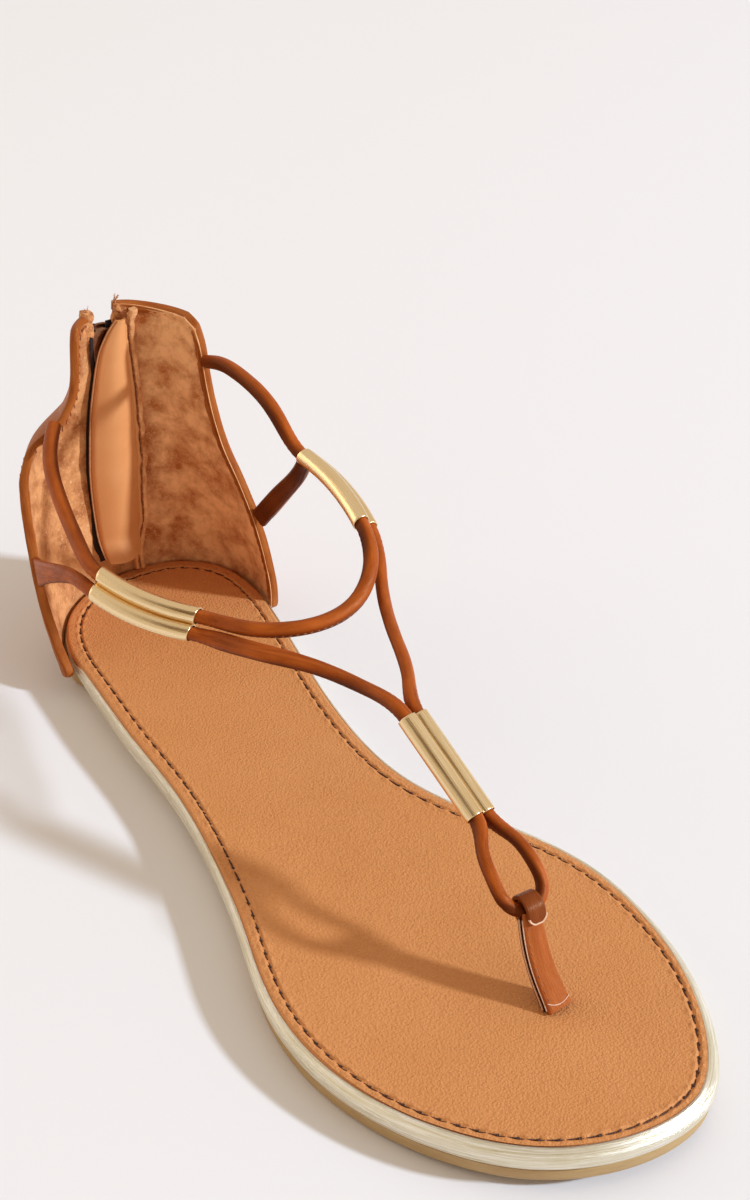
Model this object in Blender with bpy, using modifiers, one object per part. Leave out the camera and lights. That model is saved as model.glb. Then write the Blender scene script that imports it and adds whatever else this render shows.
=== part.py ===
"""T-strap sandal for the right foot: sole, heel cup with a back zip, two cords, three gold tubes and a toe post.

Metres, +X towards the toe, +Y towards the inner (medial) side, +Z up.
The tables are in millimetres: x from the back of the heel, y from the sole's middle line, z from the floor.
The origin is on the floor under the middle of the heel.
"""

import math

import bmesh
import bpy
import numpy as np
from mathutils import Vector

MM = 0.001
GAP = 0.3                    # between pieces that touch on the real sandal
REST_X = 32.0                # the origin's distance from the back of the heel

# Sole
FOOTBED_THICK = 2.0
RAND_BOTTOM = 5.3            # the rand's underside, below the footbed's surface
RAND_WIDEST = 2.8            # and its widest line
RAND_UNDERCUT = 1.3          # how far it draws in at its underside
LIP_DROP = 0.35              # the rand's top edge beside the footbed, below its surface
HEEL_TOP = 9.4               # footbed surface over the floor at the heel
BALL_TOP = 9.0               # and at the ball
TOE_SPRING = 3.3             # rise of the sole's tip
SPRING_START = 185.0
ARCH_RISE = 0.8              # hollow under the waist
OUTSOLE_INSET = 0.85         # the outsole's edge lies this far inside the rand's
CUP_FRONT = (30.0, 38.0)     # between these x the sole's edge changes from under the heel cup to free
LOOP_POINTS = 64             # points round each level of a sole layer

# Heel cup, zip and guard
WALL = 2.0
COLLAR_TILT = 1.2            # how much the collar's inner corner stands up and its outer one lies down
SLOT_WIDTH = 7.8
SLOT_BOTTOM = 15.0
ZIP_WIDTH = 7.2
ZIP_THICK = 1.8
ZIP_TOP = 80.3
GUARD_THICK = 1.1
GUARD_COLUMNS = 8

# Zip slider and pull
SLIDER_Z = 83.3              # height of the pin that the pull turns on
PLATE_THICK = 1.1
PLATE_WIDTH = 7.0
PLATE_LENGTH = 10.0
NECK_WIDTH = 2.8
PIN_RADIUS = 0.65
PIN_TO_PLATE = 0.95          # from the pin's centre to the front plate
BAIL_INNER = 1.05
BAIL_OUTER = 2.1
BAIL_WIDTH = 2.0
PULL_THICK = 1.1
PULL_LENGTH = 15.0
PULL_WIDTH = 4.8
EYE_WIDTH = 2.8
EYE_LENGTH = 2.7             # from the pin's centre to the far end of the eye

# Cords and tubes
CORD_IN_TUBE = 3.2           # cord diameter inside a barrel
BARREL_OUTER = 4.7
BARREL_BORE = 4.15
BARREL_PITCH = 4.5           # between the two barrels' centre lines
FOOT_AXIS = (3.0, 30.0)      # y, z of the line inside the foot that the straps lie round
VALLEY = 145.0               # each barrel's round face runs this many degrees either way, to the valley
RIGHT, LEFT = 0.5, -0.5      # a tube's barrels, seen from outside along the way from its first end to its second

# Toe post
POST_THICK = 4.2             # two folded layers
POST_WIDTHS = (5.8, 5.8, 5.8, 5.7, 5.4, 4.8)
POST_ROOT = (205.7, 8.8)     # x, y where it leaves the footbed
POST_ROLL = (193.3, 8.5, 29.3)
LOOP_BORE = 2.5              # radius
LOOP_WALL = 1.2
LOOP_WIDTH = 4.8

# Edge of the rand, the sole's widest line: x, y on the outer side, y on the inner side
SOLE_OUTLINE = [
    (1.0, -6.0, 13.5),
    (4.0, -12.9, 20.0),
    (12.0, -22.3, 27.3),
    (25.0, -28.5, 30.2),
    (45.0, -30.6, 28.6),
    (70.0, -31.6, 24.3),
    (95.0, -31.7, 21.3),
    (120.0, -34.4, 22.6),
    (145.0, -39.6, 33.0),
    (170.0, -46.0, 43.7),
    (190.0, -46.5, 45.6),
    (210.0, -41.2, 42.7),
    (225.0, -33.1, 37.1),
    (238.0, -21.4, 28.8),
    (245.0, -9.3, 20.8),
]
HEEL_POINT = (0.0, 4.0)
TOE_POINT = (248.2, 6.0)

# Footbed edge: x, distance inside the rand's edge
FOOTBED_EDGE = [(0.0, 0.4), (28.0, 0.4), (42.0, 0.95), (110.0, 0.95), (183.0, 1.85), (240.0, 3.0), (249.0, 3.0)]

# Inside of the heel cup at each height. back: x of its back. depth: how deep the curve is.
# outer, inner: half widths. sway: how far the back is turned to the inner side. x_outer, x_inner: front edges.
HEEL_CUP = [
    # z     back  depth outer inner sway  x_outer x_inner
    (4.1,  -0.4, 32.0, 30.9, 31.1, 3.9,  31.0,  31.0),
    (7.0,  -0.5, 32.0, 31.0, 31.2, 3.9,  35.2,  34.8),
    (14.0, -1.0, 32.0, 32.0, 30.9, 3.5,  29.2,  35.9),
    (24.0, -1.6, 31.5, 33.4, 29.6, 2.5,  23.2,  35.0),
    (36.0, -2.0, 31.0, 34.2, 27.6, 1.5,  19.0,  31.5),
    (46.0, -2.0, 29.5, 34.4, 25.6, 0.8,  16.4,  27.2),
    (56.0, -2.0, 28.0, 34.0, 23.5, 0.3,  14.2,  22.6),
    (62.0, -1.8, 27.0, 32.2, 22.8, 0.0,  13.5,  20.6),
    (66.0, -1.7, 26.4, 27.8, 22.3, 0.0,  12.6,  19.8),
    (72.0, -1.5, 25.3, 19.2, 21.7, 0.0,  10.9,  18.8),
    (78.0, -1.3, 24.0, 15.0, 21.1, 0.0,   9.8,  18.2),
    (85.0, -0.9, 22.5, 13.7, 20.3, 0.0,   8.7,  18.0),
    (91.0, -0.6, 21.3, 13.2, 19.3, 0.0,   7.4,  17.0),
    (93.4, -0.5, 21.0, 12.9, 19.0, 0.0,   5.5,  13.2),
]
CUP_SQUARENESS = 0.85        # below 1 the back is fuller than an ellipse
CUP_COLUMNS = 12             # on each side of the zip

# Guard flap behind the zip: z, y of its free edge, y of its sewn edge, gap to the wall at the free edge, and
# how far its middle bulges over the zip
GUARD = [
    (16.8,  -5.4,  4.4,  1.3,  2.4),
    (21.5,  -6.1,  5.8,  1.3,  2.8),
    (30.0,  -6.7,  6.9,  1.4,  3.2),
    (44.0,  -7.2,  7.5,  1.4,  3.4),
    (58.0,  -6.2,  7.4,  1.4,  3.4),
    (72.0,  -4.2,  6.8,  1.4,  3.0),
    (82.0,  -2.0,  6.2,  1.3,  2.4),
    (88.0,   1.0,  5.8,  1.2,  1.6),
    (91.0,   3.4,  5.6,  1.1,  0.8),
]

# Tubes: name, centre of each end, how far the middle bulges, how far the pair of barrels is turned about its
# own length, in degrees, so that the right one stands higher, and how far the bulge leans towards the right
# barrel instead of straight away from the foot, in degrees
TUBES = [
    ("front_tube",   (146.8, 7.0, 52.1),   (171.2, 10.2, 38.8),   0.0,  0.0,  0.0),
    ("lateral_tube", (64.7, -34.3, 55.4),  (88.3, -19.3, 51.7),  1.9,  0.0, 46.0),
    ("medial_tube",  (62.7, 27.7, 71.6),   (89.9, 28.7, 65.7),   1.4, 14.0,  0.0),
]

# Colours: base colour (linear), roughness, metallic
FINISHES = {
    "gold_tan_rubber":   ((0.30, 0.20, 0.09), 0.45, 0.3),
    "gold_foil_leather": ((0.80, 0.72, 0.52), 0.25, 0.9),
    "tan_leather":       ((0.58, 0.24, 0.09), 0.55, 0.0),
    "suede_lined":       ((0.42, 0.17, 0.06), 0.85, 0.0),
    "light_leather":     ((0.70, 0.34, 0.15), 0.60, 0.0),
    "cord_leather":      ((0.36, 0.11, 0.03), 0.40, 0.0),
    "dark_zip":          ((0.03, 0.01, 0.008), 0.50, 0.0),
    "slider_metal":      ((0.40, 0.30, 0.18), 0.35, 1.0),
    "pale_gold_metal":   ((0.85, 0.68, 0.38), 0.22, 1.0),
}


# ---------------------------------------------------------------- scene and helpers

def clear_scene():
    for obj in list(bpy.data.objects):
        bpy.data.objects.remove(obj, do_unlink=True)


def new_collection(name):
    collection = bpy.data.collections.new(name)
    bpy.context.scene.collection.children.link(collection)
    return collection


def material(finish):
    found = bpy.data.materials.get(finish)
    if found:
        return found
    colour, roughness, metallic = FINISHES[finish]
    made = bpy.data.materials.new(finish)
    made.use_nodes = True
    shader = made.node_tree.nodes["Principled BSDF"]
    shader.inputs["Base Color"].default_value = (*colour, 1.0)
    shader.inputs["Roughness"].default_value = roughness
    shader.inputs["Metallic"].default_value = metallic
    return made


def place(point):
    """A table point in millimetres as a Blender position."""
    return Vector((point[0] - REST_X, point[1], point[2])) * MM


def add_object(name, data, collection, finish=None):
    obj = bpy.data.objects.new(name, data)
    collection.objects.link(obj)
    if finish:
        data.materials.append(material(finish))
    return obj


def mesh_from(name, bm):
    bmesh.ops.recalc_face_normals(bm, faces=bm.faces)
    mesh = bpy.data.meshes.new(name)
    bm.to_mesh(mesh)
    bm.free()
    mesh.shade_smooth()
    mesh.set_sharp_from_angle(angle=math.radians(40))
    return mesh


def spline(points, count, closed=False):
    """Points along the smooth curve (a cubic spline on chord length) through the given points."""
    knots = np.array(points, dtype=float)
    if closed:
        knots = np.vstack([knots, knots[:1]])
    t = np.concatenate([[0.0], np.cumsum(np.linalg.norm(np.diff(knots, axis=0), axis=1))])
    step = np.diff(t)
    slope = np.diff(knots, axis=0) / step[:, None]
    n = len(t)
    system = np.zeros((n, n))
    right = np.zeros_like(knots)
    for i in range(1, n - 1):
        system[i, i - 1:i + 2] = step[i - 1], 2 * (step[i - 1] + step[i]), step[i]
        right[i] = 6 * (slope[i] - slope[i - 1])
    system[0, 0] = system[-1, -1] = 1.0
    if closed:
        system[0, -1] = -1.0
        system[-1, [0, 1, -2, -1]] = 2 * step[0], step[0], step[-1], 2 * step[-1]
        right[-1] = 6 * (slope[0] - slope[-1])
    bend = np.linalg.solve(system, right)
    where = np.linspace(0.0, t[-1], count + 1 if closed else count)
    if closed:
        where = where[:-1]
    i = np.clip(np.searchsorted(t, where, side="right") - 1, 0, n - 2)
    a = (t[i + 1] - where)[:, None]
    b = (where - t[i])[:, None]
    h = step[i][:, None]
    return ((bend[i] * a ** 3 + bend[i + 1] * b ** 3) / (6 * h)
            + (knots[i] / h - bend[i] * h / 6) * a + (knots[i + 1] / h - bend[i + 1] * h / 6) * b)


def between(xs, ys, x):
    """A smooth value between table rows that never overshoots them."""
    xs = np.asarray(xs, float)
    ys = np.asarray(ys, float)
    secant = np.diff(ys) / np.diff(xs)
    left, right = secant[:-1], secant[1:]
    same = left * right > 0
    inner = np.where(same, 2 * left * right / np.where(same, left + right, 1.0), 0.0)
    slope = np.concatenate([secant[:1], inner, secant[-1:]])
    x = np.clip(x, xs[0], xs[-1])
    i = min(int(np.searchsorted(xs, x, side="right")) - 1, len(xs) - 2)
    h = xs[i + 1] - xs[i]
    t = (x - xs[i]) / h
    return float(ys[i] * (1 + 2 * t) * (1 - t) ** 2 + ys[i + 1] * t * t * (3 - 2 * t)
                 + slope[i] * h * t * (1 - t) ** 2 + slope[i + 1] * h * t * t * (t - 1))


def boolean(target, tool, operation):
    modifier = target.modifiers.new(operation.title(), "BOOLEAN")
    modifier.operation = operation
    modifier.solver = "EXACT"
    modifier.object = tool


def as_cutter(obj):
    obj.hide_render = True
    obj.display_type = "WIRE"


# ---------------------------------------------------------------- sole

def footbed_top(x):
    heel_to_ball = min(max((x - 55.0) / 95.0, 0.0), 1.0)
    blend = 0.5 - 0.5 * math.cos(math.pi * heel_to_ball)
    return HEEL_TOP + (BALL_TOP - HEEL_TOP) * blend + toe_rise(x)


def toe_rise(x):
    beyond = max(x - SPRING_START, 0.0) / (TOE_POINT[0] - SPRING_START)
    return TOE_SPRING * beyond ** 2


def tread(x):
    """Underside of the outsole: flat at heel and forefoot, hollow at the waist, rising at the toe."""
    waist = min(max((x - 72.0) / 64.0, 0.0), 1.0)
    return ARCH_RISE * math.sin(math.pi * waist) ** 2 + toe_rise(x)


def outline():
    """The rand's edge as a closed loop of (x, y), from the heel along the outer side and back on the inner."""
    outer = [(x, y_outer) for x, y_outer, _ in SOLE_OUTLINE]
    inner = [(x, y_inner) for x, _, y_inner in reversed(SOLE_OUTLINE)]
    return spline([HEEL_POINT, *outer, TOE_POINT, *inner], LOOP_POINTS, closed=True)


def inset_loop(loop, inset):
    """The loop moved inwards; inset is a number or a function of x."""
    along = np.roll(loop, -1, axis=0) - np.roll(loop, 1, axis=0)
    along /= np.linalg.norm(along, axis=1)[:, None]
    inward = np.column_stack([-along[:, 1], along[:, 0]])
    amounts = [inset(x) if callable(inset) else inset for x in loop[:, 0]]
    return loop + inward * np.array(amounts)[:, None]


def shrink_loop(loop, share):
    """The loop drawn towards the sole's middle line, for the rings inside the edge."""
    x = np.clip(loop[:, 0], 26.0, 205.0)
    middle = np.column_stack([x, np.interp(x, [26, 95, 170, 205], [1.0, -5.0, -1.0, 2.0])])
    return middle + (loop - middle) * share


def layer(name, rings, collection, finish):
    """A closed slab from rings of points that run from its underside round its edge to its top."""
    bm = bmesh.new()
    loops = [[bm.verts.new(place(p)) for p in ring] for ring in rings]
    count = len(loops[0])
    for lower, upper in zip(loops, loops[1:]):
        for i in range(count):
            j = (i + 1) % count
            bm.faces.new((lower[i], lower[j], upper[j], upper[i]))
    for ring in (loops[0], loops[-1]):
        for i in range(count // 2):
            corners = [ring[i], ring[i + 1], ring[(count - i - 1) % count], ring[(count - i) % count]]
            distinct = list(dict.fromkeys(corners))
            bm.faces.new(distinct)
    return add_object(name, mesh_from(name, bm), collection, finish)


def ring_at(loop, inset, height, share=1.0):
    flat = shrink_loop(inset_loop(loop, inset), share)
    return [(x, y, height(x)) for x, y in flat]


def past_cup(x):
    """0 under the heel cup, 1 past its front corners, with a smooth step between."""
    forward = min(max((x - CUP_FRONT[0]) / (CUP_FRONT[1] - CUP_FRONT[0]), 0.0), 1.0)
    return 0.5 - 0.5 * math.cos(math.pi * forward)


def footbed_edge(x):
    xs = [row[0] for row in FOOTBED_EDGE]
    insets = [row[1] for row in FOOTBED_EDGE]
    return between(xs, insets, x)


def below(drop):
    """The height that lies this far under the footbed's surface, as a function of x."""
    return lambda x: footbed_top(x) - drop


def make_footbed(loop, collection):

    def inside(amount):
        return lambda x: footbed_edge(x) + amount
    rings = [
        ring_at(loop, inside(3.0), below(FOOTBED_THICK), 0.5),
        ring_at(loop, inside(0.8), below(FOOTBED_THICK)),
        ring_at(loop, inside(0.0), below(FOOTBED_THICK * 0.7)),
        ring_at(loop, inside(0.0), below(FOOTBED_THICK * 0.3)),
        ring_at(loop, inside(0.4), below(0.1)),
        ring_at(loop, inside(1.5), below(0.0)),
        ring_at(loop, inside(4.0), below(0.0), 0.8),
        ring_at(loop, inside(4.0), below(0.0), 0.4),
    ]
    return layer("footbed", rings, collection, "tan_leather")


def make_midsole(loop, collection):
    """The foil-covered rand and the board it is wrapped round, with a seat for the footbed in its top."""
    seat = FOOTBED_THICK + GAP

    def lip(share):
        return lambda x: share * (footbed_edge(x) - GAP)

    def lip_height(drop):
        """The lip stands beside the footbed, but not inside the heel cup."""
        lowest = seat - 0.1
        return lambda x: footbed_top(x) - lowest + (lowest - drop) * past_cup(x)
    middle = (RAND_BOTTOM + RAND_WIDEST) / 2
    rings = [
        ring_at(loop, 4.0, below(RAND_BOTTOM), 0.5),
        ring_at(loop, RAND_UNDERCUT, below(RAND_BOTTOM)),
        ring_at(loop, RAND_UNDERCUT * 0.35, below(RAND_BOTTOM - 0.45)),
        ring_at(loop, RAND_UNDERCUT * 0.06, below(middle)),
        ring_at(loop, 0.0, below(RAND_WIDEST)),
        ring_at(loop, lip(0.1), lip_height(RAND_WIDEST - 1.0)),
        ring_at(loop, lip(0.38), lip_height(LIP_DROP + 0.6)),
        ring_at(loop, lip(0.8), lip_height(LIP_DROP)),
        ring_at(loop, lip(1.0), lip_height(LIP_DROP + 0.1)),
        ring_at(loop, lip(1.0), below(seat)),
        ring_at(loop, 4.0, below(seat), 0.5),
    ]
    return layer("midsole", rings, collection, "gold_foil_leather")


def make_outsole(loop, collection):
    top = below(RAND_BOTTOM + GAP)
    under_cup = WALL + GAP

    def ledge(more):
        """The outsole's edge: it reaches out under the heel cup, and back in past its front corners."""
        return lambda x: more - under_cup + (under_cup + OUTSOLE_INSET) * past_cup(x)
    rings = [
        ring_at(loop, ledge(3.0), tread, 0.45),
        ring_at(loop, ledge(3.0), tread, 0.8),
        ring_at(loop, ledge(0.8), tread),
        ring_at(loop, ledge(0.2), lambda x: tread(x) + 0.5),
        ring_at(loop, ledge(0.0), lambda x: tread(x) + 1.2),
        ring_at(loop, ledge(0.0), lambda x: top(x) - 0.5),
        ring_at(loop, ledge(0.3), top),
        ring_at(loop, 4.0, top, 0.5),
    ]
    return layer("outsole", rings, collection, "gold_tan_rubber")


# ---------------------------------------------------------------- heel cup, guard and zip

def cup_value(column, z):
    rows = np.array(HEEL_CUP)
    return between(rows[:, 0], rows[:, column], z)


def cup_point(z, angle, side, out=0.0):
    """A point on the cup's inner face, or out beyond it: angle 0 is the back, side -1 outer and +1 inner."""
    depth = cup_value(2, z) + out
    half_width = cup_value(3 if side < 0 else 4, z) + out
    x = cup_value(1, z) - out + depth * (1.0 - math.cos(angle))
    y = side * half_width * math.sin(angle) ** CUP_SQUARENESS + cup_value(5, z) * math.cos(angle)
    return (x, y, z)


def cup_front_angle(z, side):
    reach = cup_value(6 if side < 0 else 7, z) - cup_value(1, z)
    return math.acos(1.0 - reach / cup_value(2, z))


def cup_heights():
    """The table's heights, with one more between rows that lie far apart."""
    levels = [row[0] for row in HEEL_CUP]
    halfway = [(a + b) / 2 for a, b in zip(levels, levels[1:]) if b - a > 6.5]
    return sorted(levels + halfway)


def make_quarter(collection, cutters):
    """An open U-shaped wall with Solidify for its thickness; a cutter takes out the slot for the zip."""
    bm = bmesh.new()
    rows = []
    top = HEEL_CUP[-1][0]
    for z in cup_heights():
        row = []
        for column in range(-CUP_COLUMNS, CUP_COLUMNS + 1):
            side = -1 if column < 0 else 1
            angle = cup_front_angle(z, side) * abs(column) / CUP_COLUMNS
            x, y, _ = cup_point(z, angle, side, out=WALL)
            lift = side * COLLAR_TILT * (z / top) ** 2 * math.sin(angle)
            row.append(bm.verts.new(place((x, y, z + lift))))
        rows.append(row)
    for lower, upper in zip(rows, rows[1:]):
        for i in range(len(lower) - 1):
            bm.faces.new((lower[i], upper[i], upper[i + 1], lower[i + 1]))
    mesh = mesh_from("quarter", bm)
    quarter = add_object("quarter", mesh, collection, "suede_lined")
    solidify = quarter.modifiers.new("Wall", "SOLIDIFY")
    solidify.thickness = WALL * MM
    solidify.offset = -1.0 if outward(mesh) else 1.0
    slot = box("zip_slot", (-14.0, -SLOT_WIDTH / 2, SLOT_BOTTOM), (9.0, SLOT_WIDTH / 2, top + 5.0), cutters)
    as_cutter(slot)
    boolean(quarter, slot, "DIFFERENCE")
    return quarter


def outward(mesh):
    """True where the wall's faces look away from the middle of the heel."""
    centre = place((25.0, 0.0, 45.0))
    facing = sum(face.normal.dot(face.center - centre) * face.area for face in mesh.polygons)
    return facing > 0


def box(name, low, high, collection, finish=None):
    bm = bmesh.new()
    bmesh.ops.create_cube(bm, size=1.0)
    a, b = place(low), place(high)
    bmesh.ops.scale(bm, vec=b - a, verts=bm.verts)
    bmesh.ops.translate(bm, vec=(a + b) / 2, verts=bm.verts)
    return add_object(name, mesh_from(name, bm), collection, finish)


def make_zip_guard(collection):
    """A thin flap: close to the wall along both edges, bulging over the zip between them."""
    bm = bmesh.new()
    rows = []
    for z, free_y, sewn_y, free_gap, bulge in GUARD:
        row = []
        for step in range(GUARD_COLUMNS + 1):
            share = step / GUARD_COLUMNS
            y = free_y + (sewn_y - free_y) * share
            side = -1 if y < 0 else 1
            stand_off = GAP + free_gap * (1.0 - share) + bulge * math.sin(math.pi * share)
            half_width = cup_value(3 if side < 0 else 4, z)
            angle = math.asin((abs(y) / half_width) ** (1.0 / CUP_SQUARENESS))
            x = cup_point(z, angle, side)[0]
            row.append(bm.verts.new(place((x + stand_off, y, z))))
        rows.append(row)
    for lower, upper in zip(rows, rows[1:]):
        for i in range(len(lower) - 1):
            bm.faces.new((lower[i], upper[i], upper[i + 1], lower[i + 1]))
    mesh = mesh_from("zip_guard", bm)
    guard = add_object("zip_guard", mesh, collection, "light_leather")
    solidify = guard.modifiers.new("Thickness", "SOLIDIFY")
    solidify.thickness = GUARD_THICK * MM
    solidify.offset = 1.0 if mesh.polygons[0].normal.x > 0 else -1.0
    return guard


def back_line(z, out):
    """The middle of the heel cup's back at height z, out beyond its inner face."""
    return (cup_value(1, z) - out, 0.0, z)


def make_zip_tape(collection):
    centre = WALL / 2
    heights = np.linspace(SLOT_BOTTOM + GAP, ZIP_TOP, 14)
    path = [back_line(z, centre) for z in heights]
    half_w, half_t = ZIP_WIDTH / 2, ZIP_THICK / 2
    section = [(-half_w, -half_t), (half_w, -half_t), (half_w, half_t), (-half_w, half_t)]
    faces = [(-1.0, 0.0, 0.0)] * len(path)
    return ribbon("zip_tape", path, [section] * len(path), faces, collection, "dark_zip")


def ribbon(name, path, sections, faces, collection, finish):
    """A closed bar along a path. sections: an outline at each point; faces: which way its flat side looks."""
    bm = bmesh.new()
    points = np.array(path, float)
    ahead = np.gradient(points, axis=0)
    ahead /= np.linalg.norm(ahead, axis=1)[:, None]
    rings = []
    for point, direction, section, face in zip(points, ahead, sections, faces):
        across = np.cross(direction, face)
        across /= np.linalg.norm(across)
        up = np.cross(across, direction)
        rings.append([bm.verts.new(place(point + across * a + up * b)) for a, b in section])
    for lower, upper in zip(rings, rings[1:]):
        for i in range(len(lower)):
            j = (i + 1) % len(lower)
            bm.faces.new((lower[i], lower[j], upper[j], upper[i]))
    bm.faces.new(rings[0])
    bm.faces.new(rings[-1])
    return add_object(name, mesh_from(name, bm), collection, finish)


def band_section(width, thick, sides):
    """Outline of a flat band with round edges, or a circle where width and thickness are equal."""
    straight = max(width - thick, 0.0) / 2
    corners = []
    for i in range(sides):
        angle = 2 * math.pi * (i + 0.5) / sides
        shift = math.copysign(straight, math.cos(angle))
        corners.append((thick / 2 * math.cos(angle) + shift, thick / 2 * math.sin(angle)))
    return corners


# ---------------------------------------------------------------- tubes

def away_from_foot(point):
    """Unit direction from the line inside the foot to a point of a strap."""
    out = np.array([0.0, point[1] - FOOT_AXIS[0], point[2] - FOOT_AXIS[1]])
    return out / np.linalg.norm(out)


def barrel_line(tube, side, count, extend=0.0):
    """Centre line of one barrel: an arc between the tube's ends, moved half the pitch to one side."""
    _, start, end, bow, turn, lean = tube
    a, b = np.array(start), np.array(end)
    along = (b - a) / np.linalg.norm(b - a)
    across = np.cross(along, away_from_foot((a + b) / 2))
    across /= np.linalg.norm(across)
    out = np.cross(across, along)
    turn = math.radians(turn)
    across, out = across * math.cos(turn) + out * math.sin(turn), out * math.cos(turn) - across * math.sin(turn)
    lean = math.radians(lean)
    bulge_way = out * math.cos(lean) + across * math.sin(lean)
    reach = extend / np.linalg.norm(b - a)
    points = []
    for share in np.linspace(-reach, 1.0 + reach, count):
        bulge = bow * (1.0 - (2.0 * share - 1.0) ** 2)
        points.append(a + (b - a) * share + bulge_way * bulge + across * (BARREL_PITCH * side))
    return points


def rod(name, points, diameter, collection, finish=None, resolution=2):
    """A round bar along points: a poly curve with a bevel and filled caps, made a mesh with its caps welded."""
    curve = bpy.data.curves.new(name, "CURVE")
    curve.dimensions = "3D"
    curve.bevel_depth = diameter / 2 * MM
    curve.bevel_resolution = resolution
    curve.use_fill_caps = True
    line = curve.splines.new("POLY")
    line.points.add(len(points) - 1)
    for target, point in zip(line.points, points):
        target.co = (*place(point), 1.0)
    guide = bpy.data.objects.new(name + "_curve", curve)
    collection.objects.link(guide)
    bpy.context.view_layer.update()
    mesh = bpy.data.meshes.new_from_object(guide.evaluated_get(bpy.context.evaluated_depsgraph_get()))
    bpy.data.objects.remove(guide, do_unlink=True)
    bm = bmesh.new()
    bm.from_mesh(mesh)
    bmesh.ops.remove_doubles(bm, verts=bm.verts, dist=1e-6)
    mesh_smooth = mesh_from(name, bm)
    return add_object(name, mesh_smooth, collection, finish)


def pair_section():
    """Outline of two round bars side by side, with a valley between them on either face."""
    radius = BARREL_OUTER / 2
    corners = []
    for side in (1.0, -1.0):
        for degrees in np.linspace(-VALLEY, VALLEY, 10):
            angle = math.radians(degrees)
            reach = BARREL_PITCH / 2 + radius * math.cos(angle)
            corners.append((side * reach, side * radius * math.sin(angle)))
    return corners


def make_tube(tube, collection, cutters):
    """Two barrels joined side by side, with a bore through each."""
    name, bow = tube[0], tube[3]
    rings = 6 if bow else 2
    right = barrel_line(tube, RIGHT, rings)
    left = barrel_line(tube, LEFT, rings)
    middle = [(a + b) / 2 for a, b in zip(right, left)]
    across = right[0] - left[0]
    along = middle[-1] - middle[0]
    faces = [np.cross(across, along)] * rings
    body = ribbon(name, middle, [pair_section()] * rings, faces, collection, "pale_gold_metal")
    for side in (RIGHT, LEFT):
        line = barrel_line(tube, side, rings, extend=3.0)
        bore = rod(f"{name}_bore_{side}", line, BARREL_BORE, cutters, resolution=4)
        as_cutter(bore)
        boolean(body, bore, "DIFFERENCE")
    return body


# ---------------------------------------------------------------- cords and toe post

def cord_rows():
    """The instep cord: round, from the collar's inner edge to the notch on its outer edge."""
    _, lateral, medial = TUBES
    size = [CORD_IN_TUBE] * 2
    rows = [
        # x, y, z, width, thickness
        (18.7, 21.5, 81.4, 3.9, 3.6),
        (26.0, 22.4, 83.7, 3.9, 3.9),
        (35.3, 23.8, 83.6, 3.9, 3.9),
        (50.6, 25.0, 79.8, 3.9, 3.9),
    ]
    rows += [(*point, *size) for point in barrel_line(medial, RIGHT, 7, 1.0)]
    rows += [
        (99.6, 24.4, 63.5, 3.9, 3.9),
        (106.9, 16.2, 58.0, 3.9, 3.9),
        (108.6, 4.0, 56.0, 3.9, 3.9),
        (101.2, -10.0, 55.0, 3.9, 3.9),
    ]
    rows += [(*point, *size) for point in reversed(barrel_line(lateral, LEFT, 7, 1.0))]
    rows += [
        (51.0, -32.8, 58.9, 3.9, 3.9),
        (35.8, -30.6, 62.8, 3.9, 3.9),
        (20.0, -26.1, 68.2, 3.9, 3.8),
        (12.4, -21.3, 71.0, 3.8, 3.6),
    ]
    return rows


def strap_rows():
    """The T strap: from the wing through the tubes to the toe loop, and back to the cup's inner side."""
    front, lateral, medial = TUBES
    size = [CORD_IN_TUBE] * 2
    rows = [
        (21.2, -34.6, 33.0, 6.8, 2.0),
        (32.2, -36.2, 40.2, 6.0, 2.3),
        (45.6, -36.6, 48.0, 4.8, 2.9),
        (56.4, -36.3, 52.6, 3.7, 3.4),
    ]
    rows += [(*point, *size) for point in barrel_line(lateral, RIGHT, 7, 1.0)]
    rows += [
        (97.3, -16.0, 50.9, 4.6, 2.8),
        (108.0, -11.4, 52.8, 4.6, 2.8),
        (120.5, -2.8, 52.9, 3.9, 3.0),
        (133.5, 2.6, 53.2, 3.4, 3.2),
    ]
    rows += [(*point, *size) for point in barrel_line(front, RIGHT, 7, 0.8)]
    rows += [
        (180.1, 4.8, 37.2, 3.1, 3.1),
        (187.2, 3.1, 34.6, 3.1, 3.1),
        (191.5, 3.8, 31.1, 3.1, 3.1),
        (193.1, 6.3, 29.4, 3.1, 3.1),
        (193.3, 8.5, 29.3, 3.1, 3.1),
        (193.1, 10.7, 29.4, 3.1, 3.1),
        (191.5, 13.3, 31.1, 3.1, 3.1),
        (187.4, 14.0, 34.8, 3.1, 3.1),
        (180.4, 13.6, 37.2, 3.1, 3.1),
    ]
    rows += [(*point, *size) for point in reversed(barrel_line(front, LEFT, 7, 0.8))]
    rows += [
        (134.7, 13.3, 53.9, 3.2, 3.1),
        (123.1, 17.3, 55.4, 3.2, 3.1),
        (102.9, 25.4, 58.2, 3.3, 3.2),
        (96.7, 28.4, 61.0, 3.3, 3.2),
    ]
    rows += [(*point, *size) for point in reversed(barrel_line(medial, LEFT, 7, 1.0))]
    rows += [
        (56.2, 29.2, 64.6, 4.2, 3.0),
        (48.2, 28.8, 54.4, 5.0, 2.6),
        (40.6, 28.8, 45.8, 5.4, 2.3),
        (33.0, 28.8, 37.0, 5.6, 2.2),
    ]
    return rows


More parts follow.
